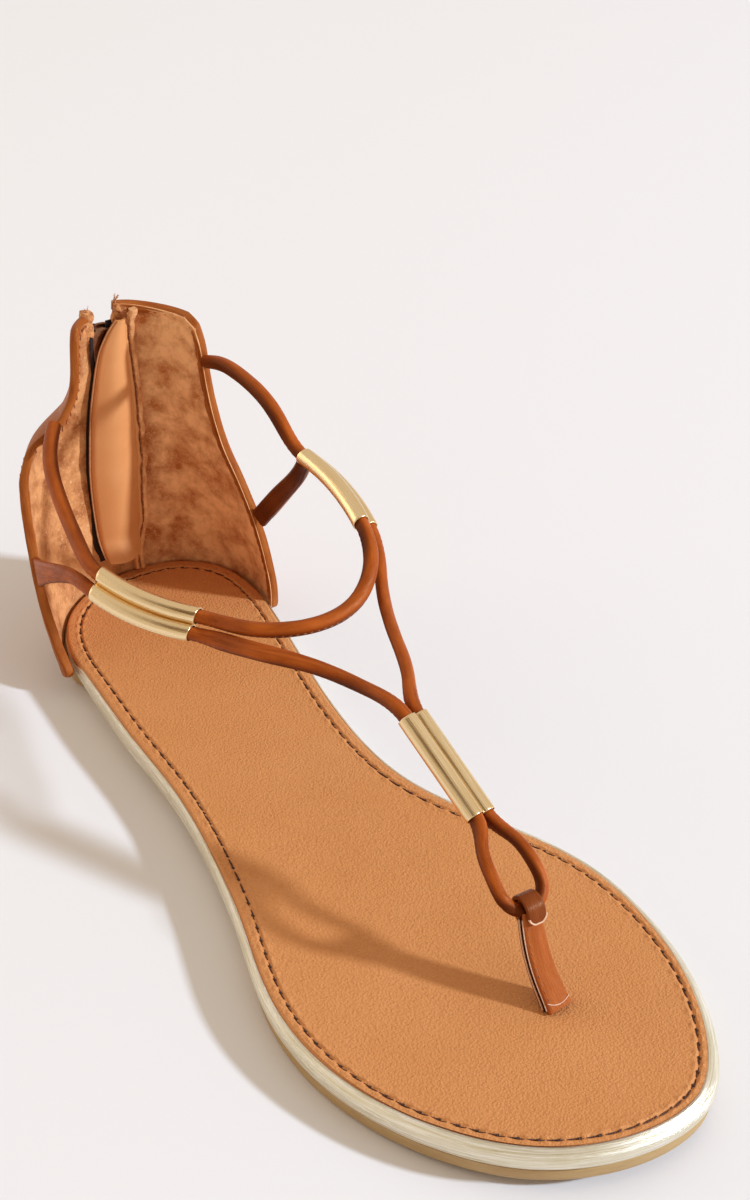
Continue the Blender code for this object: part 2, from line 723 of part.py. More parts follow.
def make_cord(name, rows, collection, count):
    """A band along the smooth curve through its rows; its flat side looks away from the foot."""
    smooth = spline([row[:3] for row in rows], count)
    table = np.array(rows)
    chord = np.concatenate([[0.0], np.cumsum(np.linalg.norm(np.diff(table[:, :3], axis=0), axis=1))])
    sections = []
    for t in np.linspace(0.0, chord[-1], count):
        sections.append(band_section(between(chord, table[:, 3], t), between(chord, table[:, 4], t), 8))
    faces = [away_from_foot(point) for point in smooth]
    return ribbon(name, smooth, sections, faces, collection, "cord_leather")


def make_toe_post(collection, cutters):
    """A folded tab that leans back from the footbed, with a bored roll round the strap at its top."""
    foot = np.array([*POST_ROOT, footbed_top(POST_ROOT[0]) + GAP])
    roll = np.array(POST_ROLL)
    lean = (roll - foot) / np.linalg.norm(roll - foot)
    foot[2] += POST_THICK / 2 * abs(lean[0])
    path = [foot + (roll - foot) * share for share in np.linspace(0.0, 1.0, len(POST_WIDTHS))]
    sections = [band_section(width, POST_THICK, 12) for width in POST_WIDTHS]
    face = np.cross(lean, (0.0, 1.0, 0.0))
    post = ribbon("toe_post", path, sections, [face] * len(path), collection, "cord_leather")
    half = np.array([0.0, LOOP_WIDTH / 2, 0.0])
    outer = 2 * (LOOP_BORE + LOOP_WALL)
    ring = rod("post_roll", [roll - half, roll + half], outer, cutters, resolution=6)
    as_cutter(ring)
    boolean(post, ring, "UNION")
    bore = rod("post_bore", [roll - 3 * half, roll + 3 * half], 2 * LOOP_BORE, cutters, resolution=6)
    as_cutter(bore)
    boolean(post, bore, "DIFFERENCE")
    return post


# ---------------------------------------------------------------- zip slider and pull

def pin_x():
    """x of the pin that the pull turns on: outside the front plate, under the bail."""
    coil_middle = back_line(ZIP_TOP - 1.0, WALL / 2)[0]
    plate_face = coil_middle - ZIP_THICK / 2 - GAP - PLATE_THICK
    return plate_face - PIN_TO_PLATE


def make_zip_slider(collection, cutters):
    """Two plates either side of the coil, a neck between them above it, and a bail for the pull."""
    face = pin_x() + PIN_TO_PLATE
    half = PLATE_WIDTH / 2
    low = SLIDER_Z - PLATE_LENGTH / 2
    high = SLIDER_Z + PLATE_LENGTH / 2
    back = face + 2 * PLATE_THICK + 2 * GAP + ZIP_THICK
    slider = box("zip_slider", (face, -half, low), (face + PLATE_THICK, half, high), collection, "slider_metal")
    rear = box("slider_rear", (back - PLATE_THICK, -half, low), (back, half, high), cutters)
    neck = box("slider_neck", (face + 0.1, -NECK_WIDTH / 2, ZIP_TOP + GAP),
               (back - 0.1, NECK_WIDTH / 2, high - 0.5), cutters)
    bail = disc("bail", BAIL_OUTER, BAIL_WIDTH, cutters)
    bore = disc("bail_bore", BAIL_INNER, BAIL_WIDTH * 2, cutters)
    for tool in (rear, neck, bail, bore):
        as_cutter(tool)
    boolean(bail, bore, "DIFFERENCE")
    for piece in (bail, rear, neck):
        boolean(slider, piece, "UNION")
    return slider


def disc(name, radius, width, collection, segments=20):
    """A short bar across the shoe on the pin's line."""
    bm = bmesh.new()
    bmesh.ops.create_cone(bm, cap_ends=True, segments=segments, radius1=radius * MM, radius2=radius * MM,
                          depth=width * MM)
    for vert in bm.verts:
        vert.co = Vector((vert.co.x, vert.co.z, vert.co.y))
    bmesh.ops.translate(bm, vec=place((pin_x(), 0.0, SLIDER_Z)), verts=bm.verts)
    return add_object(name, mesh_from(name, bm), collection)


def make_zip_pull(collection, cutters):
    """A flat tab that hangs from its pin under the bail; its origin is on the pin's axis."""
    drops = [0.0, 2.9, 4.5, 9.0, 12.5, 14.2, PULL_LENGTH]
    widths = [PULL_WIDTH, PULL_WIDTH, 4.2, 4.6, 5.4, 4.6, 2.4]
    path = [(pin_x(), 0.0, SLIDER_Z - drop) for drop in drops]
    sections = [band_section(width, PULL_THICK, 12) for width in widths]
    faces = [(-1.0, 0.0, 0.0)] * len(path)
    pull = ribbon("zip_pull", path, sections, faces, collection, "slider_metal")
    pin = disc("pull_pin", PIN_RADIUS, PULL_WIDTH - 0.2, cutters, segments=12)
    eye_low = (pin_x() - 2.0, -EYE_WIDTH / 2, SLIDER_Z - EYE_LENGTH)
    eye_high = (pin_x() + 2.0, EYE_WIDTH / 2, SLIDER_Z + 1.0)
    eye = box("pull_eye", eye_low, eye_high, cutters)
    for tool in (pin, eye):
        as_cutter(tool)
    boolean(pull, eye, "DIFFERENCE")
    boolean(pull, pin, "UNION")
    hinge = place((pin_x(), 0.0, SLIDER_Z))
    for vert in pull.data.vertices:
        vert.co -= hinge
    pull.location = hinge
    return pull


def main():
    clear_scene()
    sandal = new_collection("t_strap_sandal")
    cutters = new_collection("cutters")
    loop = outline()
    make_outsole(loop, sandal)
    make_midsole(loop, sandal)
    make_footbed(loop, sandal)
    make_quarter(sandal, cutters)
    make_zip_guard(sandal)
    make_zip_tape(sandal)
    make_zip_slider(sandal, cutters)
    make_zip_pull(sandal, cutters)
    for tube in TUBES:
        make_tube(tube, sandal, cutters)
    make_cord("instep_cord", cord_rows(), sandal, count=60)
    make_cord("t_strap", strap_rows(), sandal, count=104)
    make_toe_post(sandal, cutters)


main()
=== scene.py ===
# %% [markdown]
# # A T-strap sandal with a zip at the heel
# One flat sandal for the right foot. A leather-covered footbed with a stitched edge lies on a rand wrapped in
# gold foil and a thin rubber outsole. A heel cup with a zip in its back carries two leather cords, which run
# through three pairs of gold tubes to a toe post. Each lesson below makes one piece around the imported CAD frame,
# in millimetres measured from the back of the heel, and one function turns those into metres in the CAD's place.

# %% Load the frame
import math

import bmesh
import bpy
import numpy as np
from mathutils import Matrix, Vector, noise


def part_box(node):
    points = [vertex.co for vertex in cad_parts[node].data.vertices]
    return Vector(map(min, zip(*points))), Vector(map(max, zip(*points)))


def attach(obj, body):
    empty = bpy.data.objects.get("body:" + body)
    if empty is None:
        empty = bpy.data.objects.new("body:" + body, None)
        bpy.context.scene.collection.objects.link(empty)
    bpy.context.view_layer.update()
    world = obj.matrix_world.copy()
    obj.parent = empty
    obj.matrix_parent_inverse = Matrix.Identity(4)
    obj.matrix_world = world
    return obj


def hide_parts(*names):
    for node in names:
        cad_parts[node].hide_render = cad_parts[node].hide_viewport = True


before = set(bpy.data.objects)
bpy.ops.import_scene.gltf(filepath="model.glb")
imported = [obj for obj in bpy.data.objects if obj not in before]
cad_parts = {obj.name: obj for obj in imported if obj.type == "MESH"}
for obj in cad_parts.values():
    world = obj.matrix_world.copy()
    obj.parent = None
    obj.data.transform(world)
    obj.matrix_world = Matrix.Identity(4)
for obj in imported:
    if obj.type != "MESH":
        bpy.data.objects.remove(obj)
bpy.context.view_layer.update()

print("CAD nodes:", ", ".join(sorted(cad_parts)))

# %% [markdown]
# ## Measures
# The CAD was drawn from a few tables: the sole's outline, the heel cup's shape at each height, and the rows of
# points that the cords follow. A visual piece only fits its CAD solid if it starts from the same tables, so they
# are repeated here. x runs from the back of the heel, y from the sole's middle line to the inner side, z from
# the floor, all in millimetres.

# %% Sole measures
MM = 0.001
REST_X = 32.0                # the frame's origin lies this far from the back of the heel
FOOTBED_THICK = 2.0
RAND_BOTTOM, RAND_WIDEST, LIP_DROP = 5.3, 2.8, 0.35      # below the footbed's top
RAND_UNDERCUT = 1.3          # how far the rand's lower edge lies inside its widest line
HEEL_TOP, BALL_TOP = 9.4, 9.0            # the footbed's top above the floor
TOP_BLEND = (55.0, 95.0)     # where one height starts to change to the other, and over what length
TOE_SPRING, SPRING_START = 3.3, 185.0
ARCH_RISE = 0.8
ARCH_SPAN = (72.0, 64.0)     # where the arch starts, and its length
CUP_END = (30.0, 8.0)        # where the heel cup's wings end beside the sole, and over what length
OUTSOLE_INSET = 0.85
GAP = 0.3                    # between parts that lie on each other
SOLE_OUTLINE = [             # x, y on the outer side, y on the inner side
    (1.0, -6.0, 13.5), (4.0, -12.9, 20.0), (12.0, -22.3, 27.3), (25.0, -28.5, 30.2), (45.0, -30.6, 28.6),
    (70.0, -31.6, 24.3), (95.0, -31.7, 21.3), (120.0, -34.4, 22.6), (145.0, -39.6, 33.0), (170.0, -46.0, 43.7),
    (190.0, -46.5, 45.6), (210.0, -41.2, 42.7), (225.0, -33.1, 37.1), (238.0, -21.4, 28.8), (245.0, -9.3, 20.8),
]
HEEL_POINT = (0.0, 4.0)
TOE_POINT = (248.2, 6.0)
MIDDLE_LINE = [(26.0, 1.0), (95.0, -5.0), (170.0, -1.0), (205.0, 2.0)]     # x, y
FOOTBED_EDGE = [             # x, how far the footbed's edge lies inside the rand's
    (0.0, 0.4), (28.0, 0.4), (42.0, 0.95), (110.0, 0.95), (183.0, 1.85), (240.0, 3.0), (249.0, 3.0),
]

# %% Heel cup measures
WALL = 2.0                   # thickness of the cup's wall
COLLAR_PEAK = 2.2            # the collar rises towards the zip on the inner side
COLLAR_TILT = 1.2            # its outer edge stands higher on one side than the other by this
SLOT_WIDTH, SLOT_BOTTOM = 7.8, 15.0      # the zip's slot down the back
ZIP_TOP, SLIDER_Z = 80.3, 83.3
HEEL_CUP = [                 # z, back, depth, outer half width, inner half width, sway, front x outer, inner
    (4.1, -0.4, 32.0, 30.9, 31.1, 3.9, 31.0, 31.0), (7.0, -0.5, 32.0, 31.0, 31.2, 3.9, 35.2, 34.8),
    (14.0, -1.0, 32.0, 32.0, 30.9, 3.5, 29.2, 35.9), (24.0, -1.6, 31.5, 33.4, 29.6, 2.5, 23.2, 35.0),
    (36.0, -2.0, 31.0, 34.2, 27.6, 1.5, 19.0, 31.5), (46.0, -2.0, 29.5, 34.4, 25.6, 0.8, 16.4, 27.2),
    (56.0, -2.0, 28.0, 34.0, 23.5, 0.3, 14.2, 22.6), (62.0, -1.8, 27.0, 32.2, 22.8, 0.0, 13.5, 20.6),
    (66.0, -1.7, 26.4, 30.2, 22.3, 0.0, 12.8, 19.8), (72.0, -1.5, 25.3, 19.2, 21.7, 0.0, 10.9, 18.8),
    (78.0, -1.3, 24.0, 15.0, 21.1, 0.0, 9.8, 18.2), (85.0, -0.9, 22.5, 13.7, 20.3, 0.0, 8.7, 18.0),
    (91.0, -0.6, 21.3, 13.2, 19.3, 0.0, 7.4, 17.0), (93.4, -0.5, 21.0, 12.9, 19.0, 0.0, 5.5, 13.2),
]
BACK, DEPTH, OUTER_HALF, INNER_HALF, SWAY, OUTER_FRONT, INNER_FRONT = range(1, 8)     # the table's columns
CUP_BOTTOM, CUP_TOP = HEEL_CUP[0][0], HEEL_CUP[-1][0]
CUP_SQUARENESS = 0.85        # 1 would make the cup's back an ellipse
GUARD = [                    # z, y of the free edge, y of the sewn edge, gap at the free edge, bulge of the middle
    (16.8, -5.4, 4.4, 1.3, 2.4), (21.5, -6.1, 5.8, 1.3, 2.8), (30.0, -6.7, 6.9, 1.4, 3.2),
    (44.0, -7.2, 7.5, 1.4, 3.4), (58.0, -6.2, 7.4, 1.4, 3.4), (72.0, -4.2, 6.8, 1.4, 3.0),
    (82.0, -2.0, 6.2, 1.3, 2.4), (88.0, 1.0, 5.8, 1.2, 1.6), (91.0, 3.4, 5.6, 1.1, 0.8),
]
FREE_EDGE, SEWN_EDGE = 1, 2

# %% Tube, cord and toe post measures
CORD_IN_TUBE = 3.6           # the leather nearly fills the bore
BARREL_OUTER, BARREL_BORE = 4.7, 4.15
BARREL_PITCH = 4.5           # between the middle lines of two barrels
FOOT_AXIS = (3.0, 30.0)      # y, z of the line inside the foot that the straps lie round
RIGHT, LEFT = 0.5, -0.5
TUBES = [                    # name, centre of each end, bulge, turn and lean of the bulge in degrees
    ("front_tube", (146.8, 7.0, 52.1), (171.2, 10.2, 38.8), 0.0, 0.0, 0.0),
    ("lateral_tube", (64.7, -34.3, 55.4), (88.3, -19.3, 51.7), 1.9, 0.0, 46.0),
    ("medial_tube", (62.7, 27.7, 71.6), (89.9, 28.7, 65.7), 1.4, 14.0, 0.0),
]
POST_THICK = 4.2
POST_ROOT = (205.7, 8.8)     # where the post enters the footbed
POST_ROLL = (193.3, 8.5, 29.3)           # middle of the loop at its top
LOOP_BORE, LOOP_WALL, LOOP_WIDTH = 2.5, 1.2, 4.8

# %% [markdown]
# ## Small tools
# Blender's meshes are lists of points and faces, so most pieces here are grids of points worked out with numpy:
# rings round the sole, rows up the heel cup, sections along a cord. A few functions do what every piece needs:
# a smooth curve through a table, the faces of a grid, a wall between two layers, and the step from millimetres
# to a finished object at the origin.

# %% Curves through a table
def lengths(points):
    """How far along a line each of its points lies, starting at zero."""
    return np.concatenate([[0.0], np.cumsum(np.linalg.norm(np.diff(points, axis=0), axis=1))])


def perimeter(loop):
    """Length of a closed line."""
    return np.linalg.norm(np.roll(loop, -1, axis=0) - loop, axis=1).sum()


def spline(points, count, closed=False):
    """Points along the cubic spline, on chord length, through the given points."""
    knots = np.array(points, dtype=float)
    if closed:
        knots = np.vstack([knots, knots[:1]])
    t = lengths(knots)
    step = np.diff(t)
    slope = np.diff(knots, axis=0) / step[:, None]
    n = len(t)
    system = np.zeros((n, n))
    right = np.zeros_like(knots)
    for i in range(1, n - 1):
        system[i, i - 1:i + 2] = step[i - 1], 2 * (step[i - 1] + step[i]), step[i]
        right[i] = 6 * (slope[i] - slope[i - 1])
    system[0, 0] = system[-1, -1] = 1.0
    if closed:
        system[0, -1] = -1.0
        system[-1, [0, 1, -2, -1]] = 2 * step[0], step[0], step[-1], 2 * step[-1]
        right[-1] = 6 * (slope[0] - slope[-1])
    bend = np.linalg.solve(system, right)
    where = np.linspace(0.0, t[-1], count + 1 if closed else count)
    if closed:
        where = where[:-1]
    i = np.clip(np.searchsorted(t, where, side="right") - 1, 0, n - 2)
    a, b, h = (t[i + 1] - where)[:, None], (where - t[i])[:, None], step[i][:, None]
    return ((bend[i] * a ** 3 + bend[i + 1] * b ** 3) / (6 * h)
            + (knots[i] / h - bend[i] * h / 6) * a + (knots[i + 1] / h - bend[i + 1] * h / 6) * b)


def between(xs, ys, x):
    """Smooth values between table rows that never overshoot them."""
    xs, ys = np.asarray(xs, float), np.asarray(ys, float)
    secant = np.diff(ys) / np.diff(xs)
    left, right = secant[:-1], secant[1:]
    same = left * right > 0
    inner = np.where(same, 2 * left * right / np.where(same, left + right, 1.0), 0.0)
    slope = np.concatenate([secant[:1], inner, secant[-1:]])
    x = np.clip(np.asarray(x, float), xs[0], xs[-1])
    i = np.minimum(np.searchsorted(xs, x, side="right") - 1, len(xs) - 2)
    h = xs[i + 1] - xs[i]
    t = (x - xs[i]) / h
    return (ys[i] * (1 + 2 * t) * (1 - t) ** 2 + ys[i + 1] * t * t * (3 - 2 * t)
            + slope[i] * h * t * (1 - t) ** 2 + slope[i + 1] * h * t * t * (t - 1))


def from_table(table, column, x):
    """Smooth values of one column of a table, against its first column."""
    return between([row[0] for row in table], [row[column] for row in table], x)


def smooth_step(low, high, x):
    """0 below low, 1 above high, and a soft rise between."""
    t = np.clip((np.asarray(x, float) - low) / (high - low), 0.0, 1.0)
    return t * t * (3 - 2 * t)


def waviness(points, size, seed=0.0):
    """Smooth noise from -1 to 1 at points in millimetres; size is the width of one wave."""
    return np.array([noise.noise(Vector((p[0], p[1], p[2])) / size + Vector((seed, seed, seed)))
                     for p in np.asarray(points, float).reshape(-1, 3)])


# %% Meshes from grids of points
def place(points):
    """Table millimetres to metres in the CAD's place."""
    moved = np.array(points, dtype=float)
    moved[..., 0] -= REST_X
    return moved * MM


def grid_faces(rows, columns, ring=False):
    """Quads between the points of a grid; a ring also joins its last column to its first."""
    return [(r * columns + c, r * columns + (c + 1) % columns, (r + 1) * columns + (c + 1) % columns,
             (r + 1) * columns + c) for r in range(rows - 1) for c in range(columns if ring else columns - 1)]


def grid_uv(along, around):
    """The corner UVs of a ring of grid_faces, from the places of its rows and of its columns."""
    return [(along[r + dr], around[c + dc]) for r in range(len(along) - 1) for c in range(len(around) - 1)
            for dr, dc in ((0, 0), (0, 1), (1, 1), (1, 0))]


def thicken(front, back, faces):
    """A closed sheet: both layers and a rim round every open edge."""
    count = len(front)
    sides = dict.fromkeys((a, b) for face in faces for a, b in zip(face, face[1:] + face[:1]))
    rim = [(b, a, a + count, b + count) for a, b in sides if (b, a) not in sides]
    flipped = [tuple(i + count for i in reversed(face)) for face in faces]
    return np.vstack([front, back]), list(faces) + flipped + rim


# %% From a mesh to a piece
def add_object(name, data):
    """An object at the origin, in the scene."""
    made = bpy.data.objects.new(name, data)
    bpy.context.scene.collection.objects.link(made)
    return made


def as_mesh(source):
    """The shape that an object's modifiers or curve make, as a plain mesh; the object is removed."""
    bpy.context.view_layer.update()
    mesh = bpy.data.meshes.new_from_object(source.evaluated_get(bpy.context.evaluated_depsgraph_get()))
    bpy.data.objects.remove(source, do_unlink=True)
    return mesh


def belongs(piece, slot, stands_for=None, body="sandal"):
    """Tells the frame the piece's body and hides the CAD node it stands for; slot is not used."""
    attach(piece, body)
    if stands_for:
        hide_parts(stands_for)
    return piece


def piece_from(mesh, name, slot, finish, sharp=40.0, weld=0.0, **role):
    """A piece from a mesh: its normals face out, and only edges over the sharp angle stay hard."""
    bm = bmesh.new()
    bm.from_mesh(mesh)
    if weld:
        bmesh.ops.remove_doubles(bm, verts=bm.verts, dist=weld)
    bmesh.ops.recalc_face_normals(bm, faces=bm.faces)
    bm.to_mesh(mesh)
    bm.free()
    mesh.name = name
    mesh.shade_smooth()
    mesh.set_sharp_from_angle(angle=math.radians(sharp))
    mesh.materials.append(finish)
    print(f"{name}: {len(mesh.vertices)} points, {len(mesh.polygons)} faces")
    return belongs(add_object(name, mesh), slot, **role)


def new_piece(name, slot, points, faces, finish, uv=None, **settings):
    """A piece from points in millimetres; uv gives each corner's place in millimetres."""
    mesh = bpy.data.meshes.new(name)
    mesh.from_pydata(place(points).tolist(), [], [list(face) for face in faces])
    if uv is not None:
        mesh.uv_layers.new(name="along").data.foreach_set("uv", np.asarray(uv, float).ravel())
    return piece_from(mesh, name, slot, finish, **settings)


def paint(piece, values):
    """Stores a number at each point, which the leather and suede finishes read to paint shade, light and random tone.
    """
    layer = piece.data.attributes.new("painted_light_and_wear", "FLOAT", "POINT")
    layer.data.foreach_set("value", np.clip(np.asarray(values, float).ravel(), 0.0, 1.0))


def unit(v):
    """The same vectors at length one."""
    return v / np.linalg.norm(v, axis=-1, keepdims=True)


def heading(line):
    """The direction in which a line runs at each of its points."""
    return unit(np.gradient(line, axis=0))


def bar(path, sections, facing):
    """Points of a bar: at each point of the path an outline of (across, up), whose up looks along facing.

    Sections and facing are one for the whole bar, or one for each point of the path.
    """
    path = np.asarray(path, float)
    ahead = heading(path)
    across = unit(np.cross(ahead, facing))
    up = np.cross(across, ahead)
    sections = np.asarray(sections, float)
    return path[:, None] + across[:, None] * sections[..., :1] + up[:, None] * sections[..., 1:]


def closed_bar(name, slot, points, along, around, finish, **role):
    """A closed piece from a row of rings; along and around place the rows and columns in its UVs."""
    rows, columns = points.shape[:2]
    caps = [tuple(range(columns)), tuple(range((rows - 1) * columns, rows * columns))]
    uv = grid_uv(along, around) + [(u, v) for u in (along[0], along[-1]) for v in around[:columns]]
    return new_piece(name, slot, points.reshape(-1, 3), grid_faces(rows, columns, ring=True) + caps, finish, uv,
                     **role)


def bar_piece(name, slot, path, sections, facing, finish, **role):
    """A closed bar with millimetre UVs along its length and round its girth."""
    points = bar(path, sections, facing)
    return closed_bar(name, slot, points, lengths(path), lengths(np.vstack([points[0], points[0][:1]])), finish,
                      **role)


UP, FORWARD, BACKWARD = (0.0, 0.0, 1.0), (1.0, 0.0, 0.0), (-1.0, 0.0, 0.0)

# %% [markdown]
# ## Camera, floor and light
# The sandal stands on a plain pale studio sweep. The camera looks down at it from ahead and to the outer side
# with a short telephoto, so the toe is nearer and larger than the heel. One soft key light from the inner side
# throws the straps' shadows across the footbed; a large dim panel and an even pale sky fill the shadows.

# %% Camera
CAMERA_PLACE = Vector((0.41884, -0.1917, 0.33748))
CAMERA_RIGHT = Vector((0.52093, 0.85355, 0.00898)).normalized()
CAMERA_AHEAD = Vector((-0.69788, 0.43194, -0.57131)).normalized()
camera = add_object("camera", bpy.data.cameras.new("camera"))
camera.data.lens = 60.0
camera.data.sensor_width = 36.0
camera.data.clip_start = 0.01
camera_up = CAMERA_RIGHT.cross(CAMERA_AHEAD)
camera.matrix_world = Matrix.LocRotScale(
    CAMERA_PLACE, Matrix((CAMERA_RIGHT, camera_up, -CAMERA_AHEAD)).transposed().to_quaternion(), None)
bpy.context.scene.camera = camera
bpy.context.scene.view_settings.view_transform = "Standard"

# %% Node and colour helpers
def linear(hex_colour):
    """An sRGB hex colour such as d18d5c as linear RGBA."""
    parts = [int(hex_colour[i:i + 2], 16) / 255 for i in (0, 2, 4)]
    return tuple(c / 12.92 if c <= 0.04045 else ((c + 0.055) / 1.055) ** 2.4 for c in parts) + (1.0,)


def add_node(tree, kind, settings=None, **inputs):
    """One node with its settings; an input is a value, or another node's output socket to link."""
    made = tree.nodes.new(kind)
    for name, value in (settings or {}).items():
        setattr(made, name, value)
    for name, value in inputs.items():
        key = int(name[1:]) if name[0] == "i" and name[1:].isdigit() else name.replace("_", " ")
        if isinstance(value, bpy.types.NodeSocket):
            tree.links.new(value, made.inputs[key])
        else:
            made.inputs[key].default_value = value
    return made


def new_material(name, roughness, metallic=0.0, **inputs):
    """A material with its shader and any constant inputs; patterns are linked to it afterwards."""
    made = bpy.data.materials.new(name)
    made.use_nodes = True
    shader = made.node_tree.nodes["Principled BSDF"]
    for key, value in {"Roughness": roughness, "Metallic": metallic, **inputs}.items():
        shader.inputs[key.replace("_", " ")].default_value = value
    return made, made.node_tree, shader


def blend_colours(tree, share, first, second):
    """The colour between two others; share is a socket from 0 to 1."""
    mix = add_node(tree, "ShaderNodeMix", {"data_type": "RGBA"})
    tree.links.new(share, mix.inputs[0])
    for socket, colour in ((mix.inputs[6], first), (mix.inputs[7], second)):
        if isinstance(colour, bpy.types.NodeSocket):
            tree.links.new(colour, socket)
        else:
            socket.default_value = linear(colour)
    return mix.outputs[2]


# %% Patterns and surfaces
def in_millimetres(tree, turn=0.0):
    """Object coordinates in millimetres, turned about x, so a pattern's size is the real one."""
    return add_node(tree, "ShaderNodeMapping", Vector=add_node(tree, "ShaderNodeTexCoord").outputs["Object"],
                    Scale=(1000.0, 1000.0, 1000.0), Rotation=(turn, 0.0, 0.0)).outputs[0]


def along_piece(tree, scale):
    """The piece's own UVs, which run along it and round it, scaled each way to stretch a pattern."""
    return add_node(tree, "ShaderNodeMapping", Scale=scale,
                    Vector=add_node(tree, "ShaderNodeUVMap", {"uv_map": "along"}).outputs[0]).outputs[0]


def surface(tree, shader, tone, height, strength, depth, gloss=None):
    """Links a colour, and a height as relief of a depth in metres; gloss is a pattern and its two roughnesses."""
    tree.links.new(tone, shader.inputs["Base Color"])
    if strength:
        bump = add_node(tree, "ShaderNodeBump", Height=height, Strength=strength, Distance=depth)
        tree.links.new(bump.outputs[0], shader.inputs["Normal"])
    if gloss:
        spread = add_node(tree, "ShaderNodeMapRange", Value=gloss[0], i1=0.3, i2=0.7, i3=gloss[1], i4=gloss[2])
        tree.links.new(spread.outputs[0], shader.inputs["Roughness"])


def fuzzy_finish(name, roughness, size, low, high, strength=0.0, depth=0.0, metallic=0.0):
    """A finish whose one noise, of a size in millimetres, gives both its tones and its relief."""
    made, tree, shader = new_material(name, roughness, metallic)
    fuzz = add_node(tree, "ShaderNodeTexNoise", Vector=in_millimetres(tree), Scale=1 / size, Detail=4.0)
    fuzz = fuzz.outputs["Fac"]
    surface(tree, shader, blend_colours(tree, fuzz, low, high), fuzz, strength, depth)
    return made


# %% Floor and lights
floor_paint, _, _ = new_material("matt_paper_backdrop", 0.8, Base_Color=linear("ede9e7"), Specular_IOR_Level=0.2)
FLOOR_REACH = 4.0            # metres each way
floor_mesh = bpy.data.meshes.new("floor")
floor_mesh.from_pydata([(x * FLOOR_REACH, y * FLOOR_REACH, 0.0) for x, y in ((-1, -1), (1, -1), (1, 1), (-1, 1))],
                       [], [(0, 1, 2, 3)])
floor_mesh.materials.append(floor_paint)
add_object("floor", floor_mesh)
SANDAL_MIDDLE = Vector((0.1, 0.0, 0.03))


def add_light(name, direction, distance, size, power, colour):
    """A square soft light on a line from the sandal's middle, facing it."""
    lamp = bpy.data.lights.new(name, "AREA")
    lamp.size = size
    lamp.energy = power
    lamp.color = linear(colour)[:3]
    lit = add_object(name, lamp)
    away = Vector(direction).normalized()
    lit.location = SANDAL_MIDDLE + away * distance
    lit.rotation_euler = away.to_track_quat("Z", "Y").to_euler()
    print(f"{name}: {power} W, {size} m across, {distance} m away")


FROM_INNER_SIDE, FROM_BEHIND = (1.29, 1.36, 1.0), (-0.75, -0.66, 0.34)
add_light("key", FROM_INNER_SIDE, 6.0, 0.42, 440.0, "d8eaff")
add_light("back_panel", FROM_BEHIND, 1.6, 1.1, 4.5, "fff4e2")
sky = bpy.data.worlds.new("studio")
sky.use_nodes = True
tree = sky.node_tree
DARK_SIDE = Vector((0.42, -0.46, 0.78)).normalized()     # the unlit side of the room, where the viewer stands
towards = add_node(tree, "ShaderNodeVectorMath", {"operation": "DOT_PRODUCT"}, i1=DARK_SIDE,
                   i0=add_node(tree, "ShaderNodeTexCoord").outputs["Generated"])
lit_share = add_node(tree, "ShaderNodeMapRange", {"interpolation_type": "SMOOTHSTEP"}, Value=towards.outputs["Value"],
                     i1=0.975, i2=0.87)
tree.links.new(blend_colours(tree, lit_share.outputs[0], "8f7658", "fff1e0"),
               tree.nodes["Background"].inputs["Color"])
tree.nodes["Background"].inputs["Strength"].default_value = 0.68
bpy.context.scene.world = sky

# %% [markdown]
# ## Footbed leather
# The footbed is covered with smooth tan leather, pigmented and lightly sealed, with a fine pebbled grain about
# 0.5 mm wide. Painting the grain as colour would look printed; a bump from Voronoi cells catches the key light
# as the real pores do. Slow noise varies the tan by a few percent, as dye does over a hide.

# %% Finish: pigmented calf leather, lightly sealed
# Seen as a soft even sheen with tiny bright pores, a little darker where the dye pooled.
def grained_calf(name, roughness, pooled, light, pore_tone, pore):
    """Calf leather with grain cells of one width, pore, in millimetres; pooled is the tone where dye gathered."""
    made, tree, shader = new_material(name, roughness, Specular_IOR_Level=0.4, Specular_Tint=linear("ffe0bd"))
    mm = in_millimetres(tree)
    dye = add_node(tree, "ShaderNodeTexNoise", Vector=mm, Scale=1 / 22.0, Detail=4.0, Roughness=0.6)
    cells = add_node(tree, "ShaderNodeTexVoronoi", {"feature": "SMOOTH_F1"}, Vector=mm, Scale=1 / pore,
                     Smoothness=0.6).outputs["Distance"]
    fine = add_node(tree, "ShaderNodeTexNoise", Vector=mm, Scale=1.5 / pore, Detail=3.0).outputs["Fac"]
    in_pore = add_node(tree, "ShaderNodeMapRange", Value=cells, i1=0.1, i2=0.9, i3=0.0, i4=0.35)
    tone = blend_colours(tree, in_pore.outputs[0], blend_colours(tree, dye.outputs["Fac"], pooled, light),
                         pore_tone)
    grain = add_node(tree, "ShaderNodeMath", {"operation": "SUBTRACT"}, i0=fine, i1=cells)
    surface(tree, shader, tone, grain.outputs[0], 0.6, 0.0003, (fine, roughness - 0.08, roughness + 0.08))
    return made


footbed_leather = grained_calf("pigmented_calf_footbed", 0.52, "cf874c", "de985f", "b56f3c", 0.6)
outside_leather = grained_calf("pigmented_calf_quarter", 0.46, "a25523", "b86a31", "7f3d14", 0.45)

# %% [markdown]
# ## Footbed
# The footbed is a 2 mm board wrapped in that leather, with its edge rounded over and a row of stitches sunk into
# a groove near the edge. A sphere-brush sculpt could make the groove, but the groove follows the outline exactly,
# so the footbed is built as rings round the sole. The rings lie close together at the groove, and its depth rises
# and falls with the stitch pitch, which raises the small puckers between stitches that catch the light.

# %% The sole's outline and heights
RING_POINTS = 1040           # points round each ring, eight for each stitch
STITCHES = 130
outline = spline([HEEL_POINT, *[(x, yo) for x, yo, _ in SOLE_OUTLINE], TOE_POINT,
                  *[(x, yi) for x, _, yi in reversed(SOLE_OUTLINE)]], RING_POINTS, closed=True)
outline_length = perimeter(outline)
print(f"sole outline {outline_length:.1f} mm, one stitch every {outline_length / STITCHES:.2f} mm")


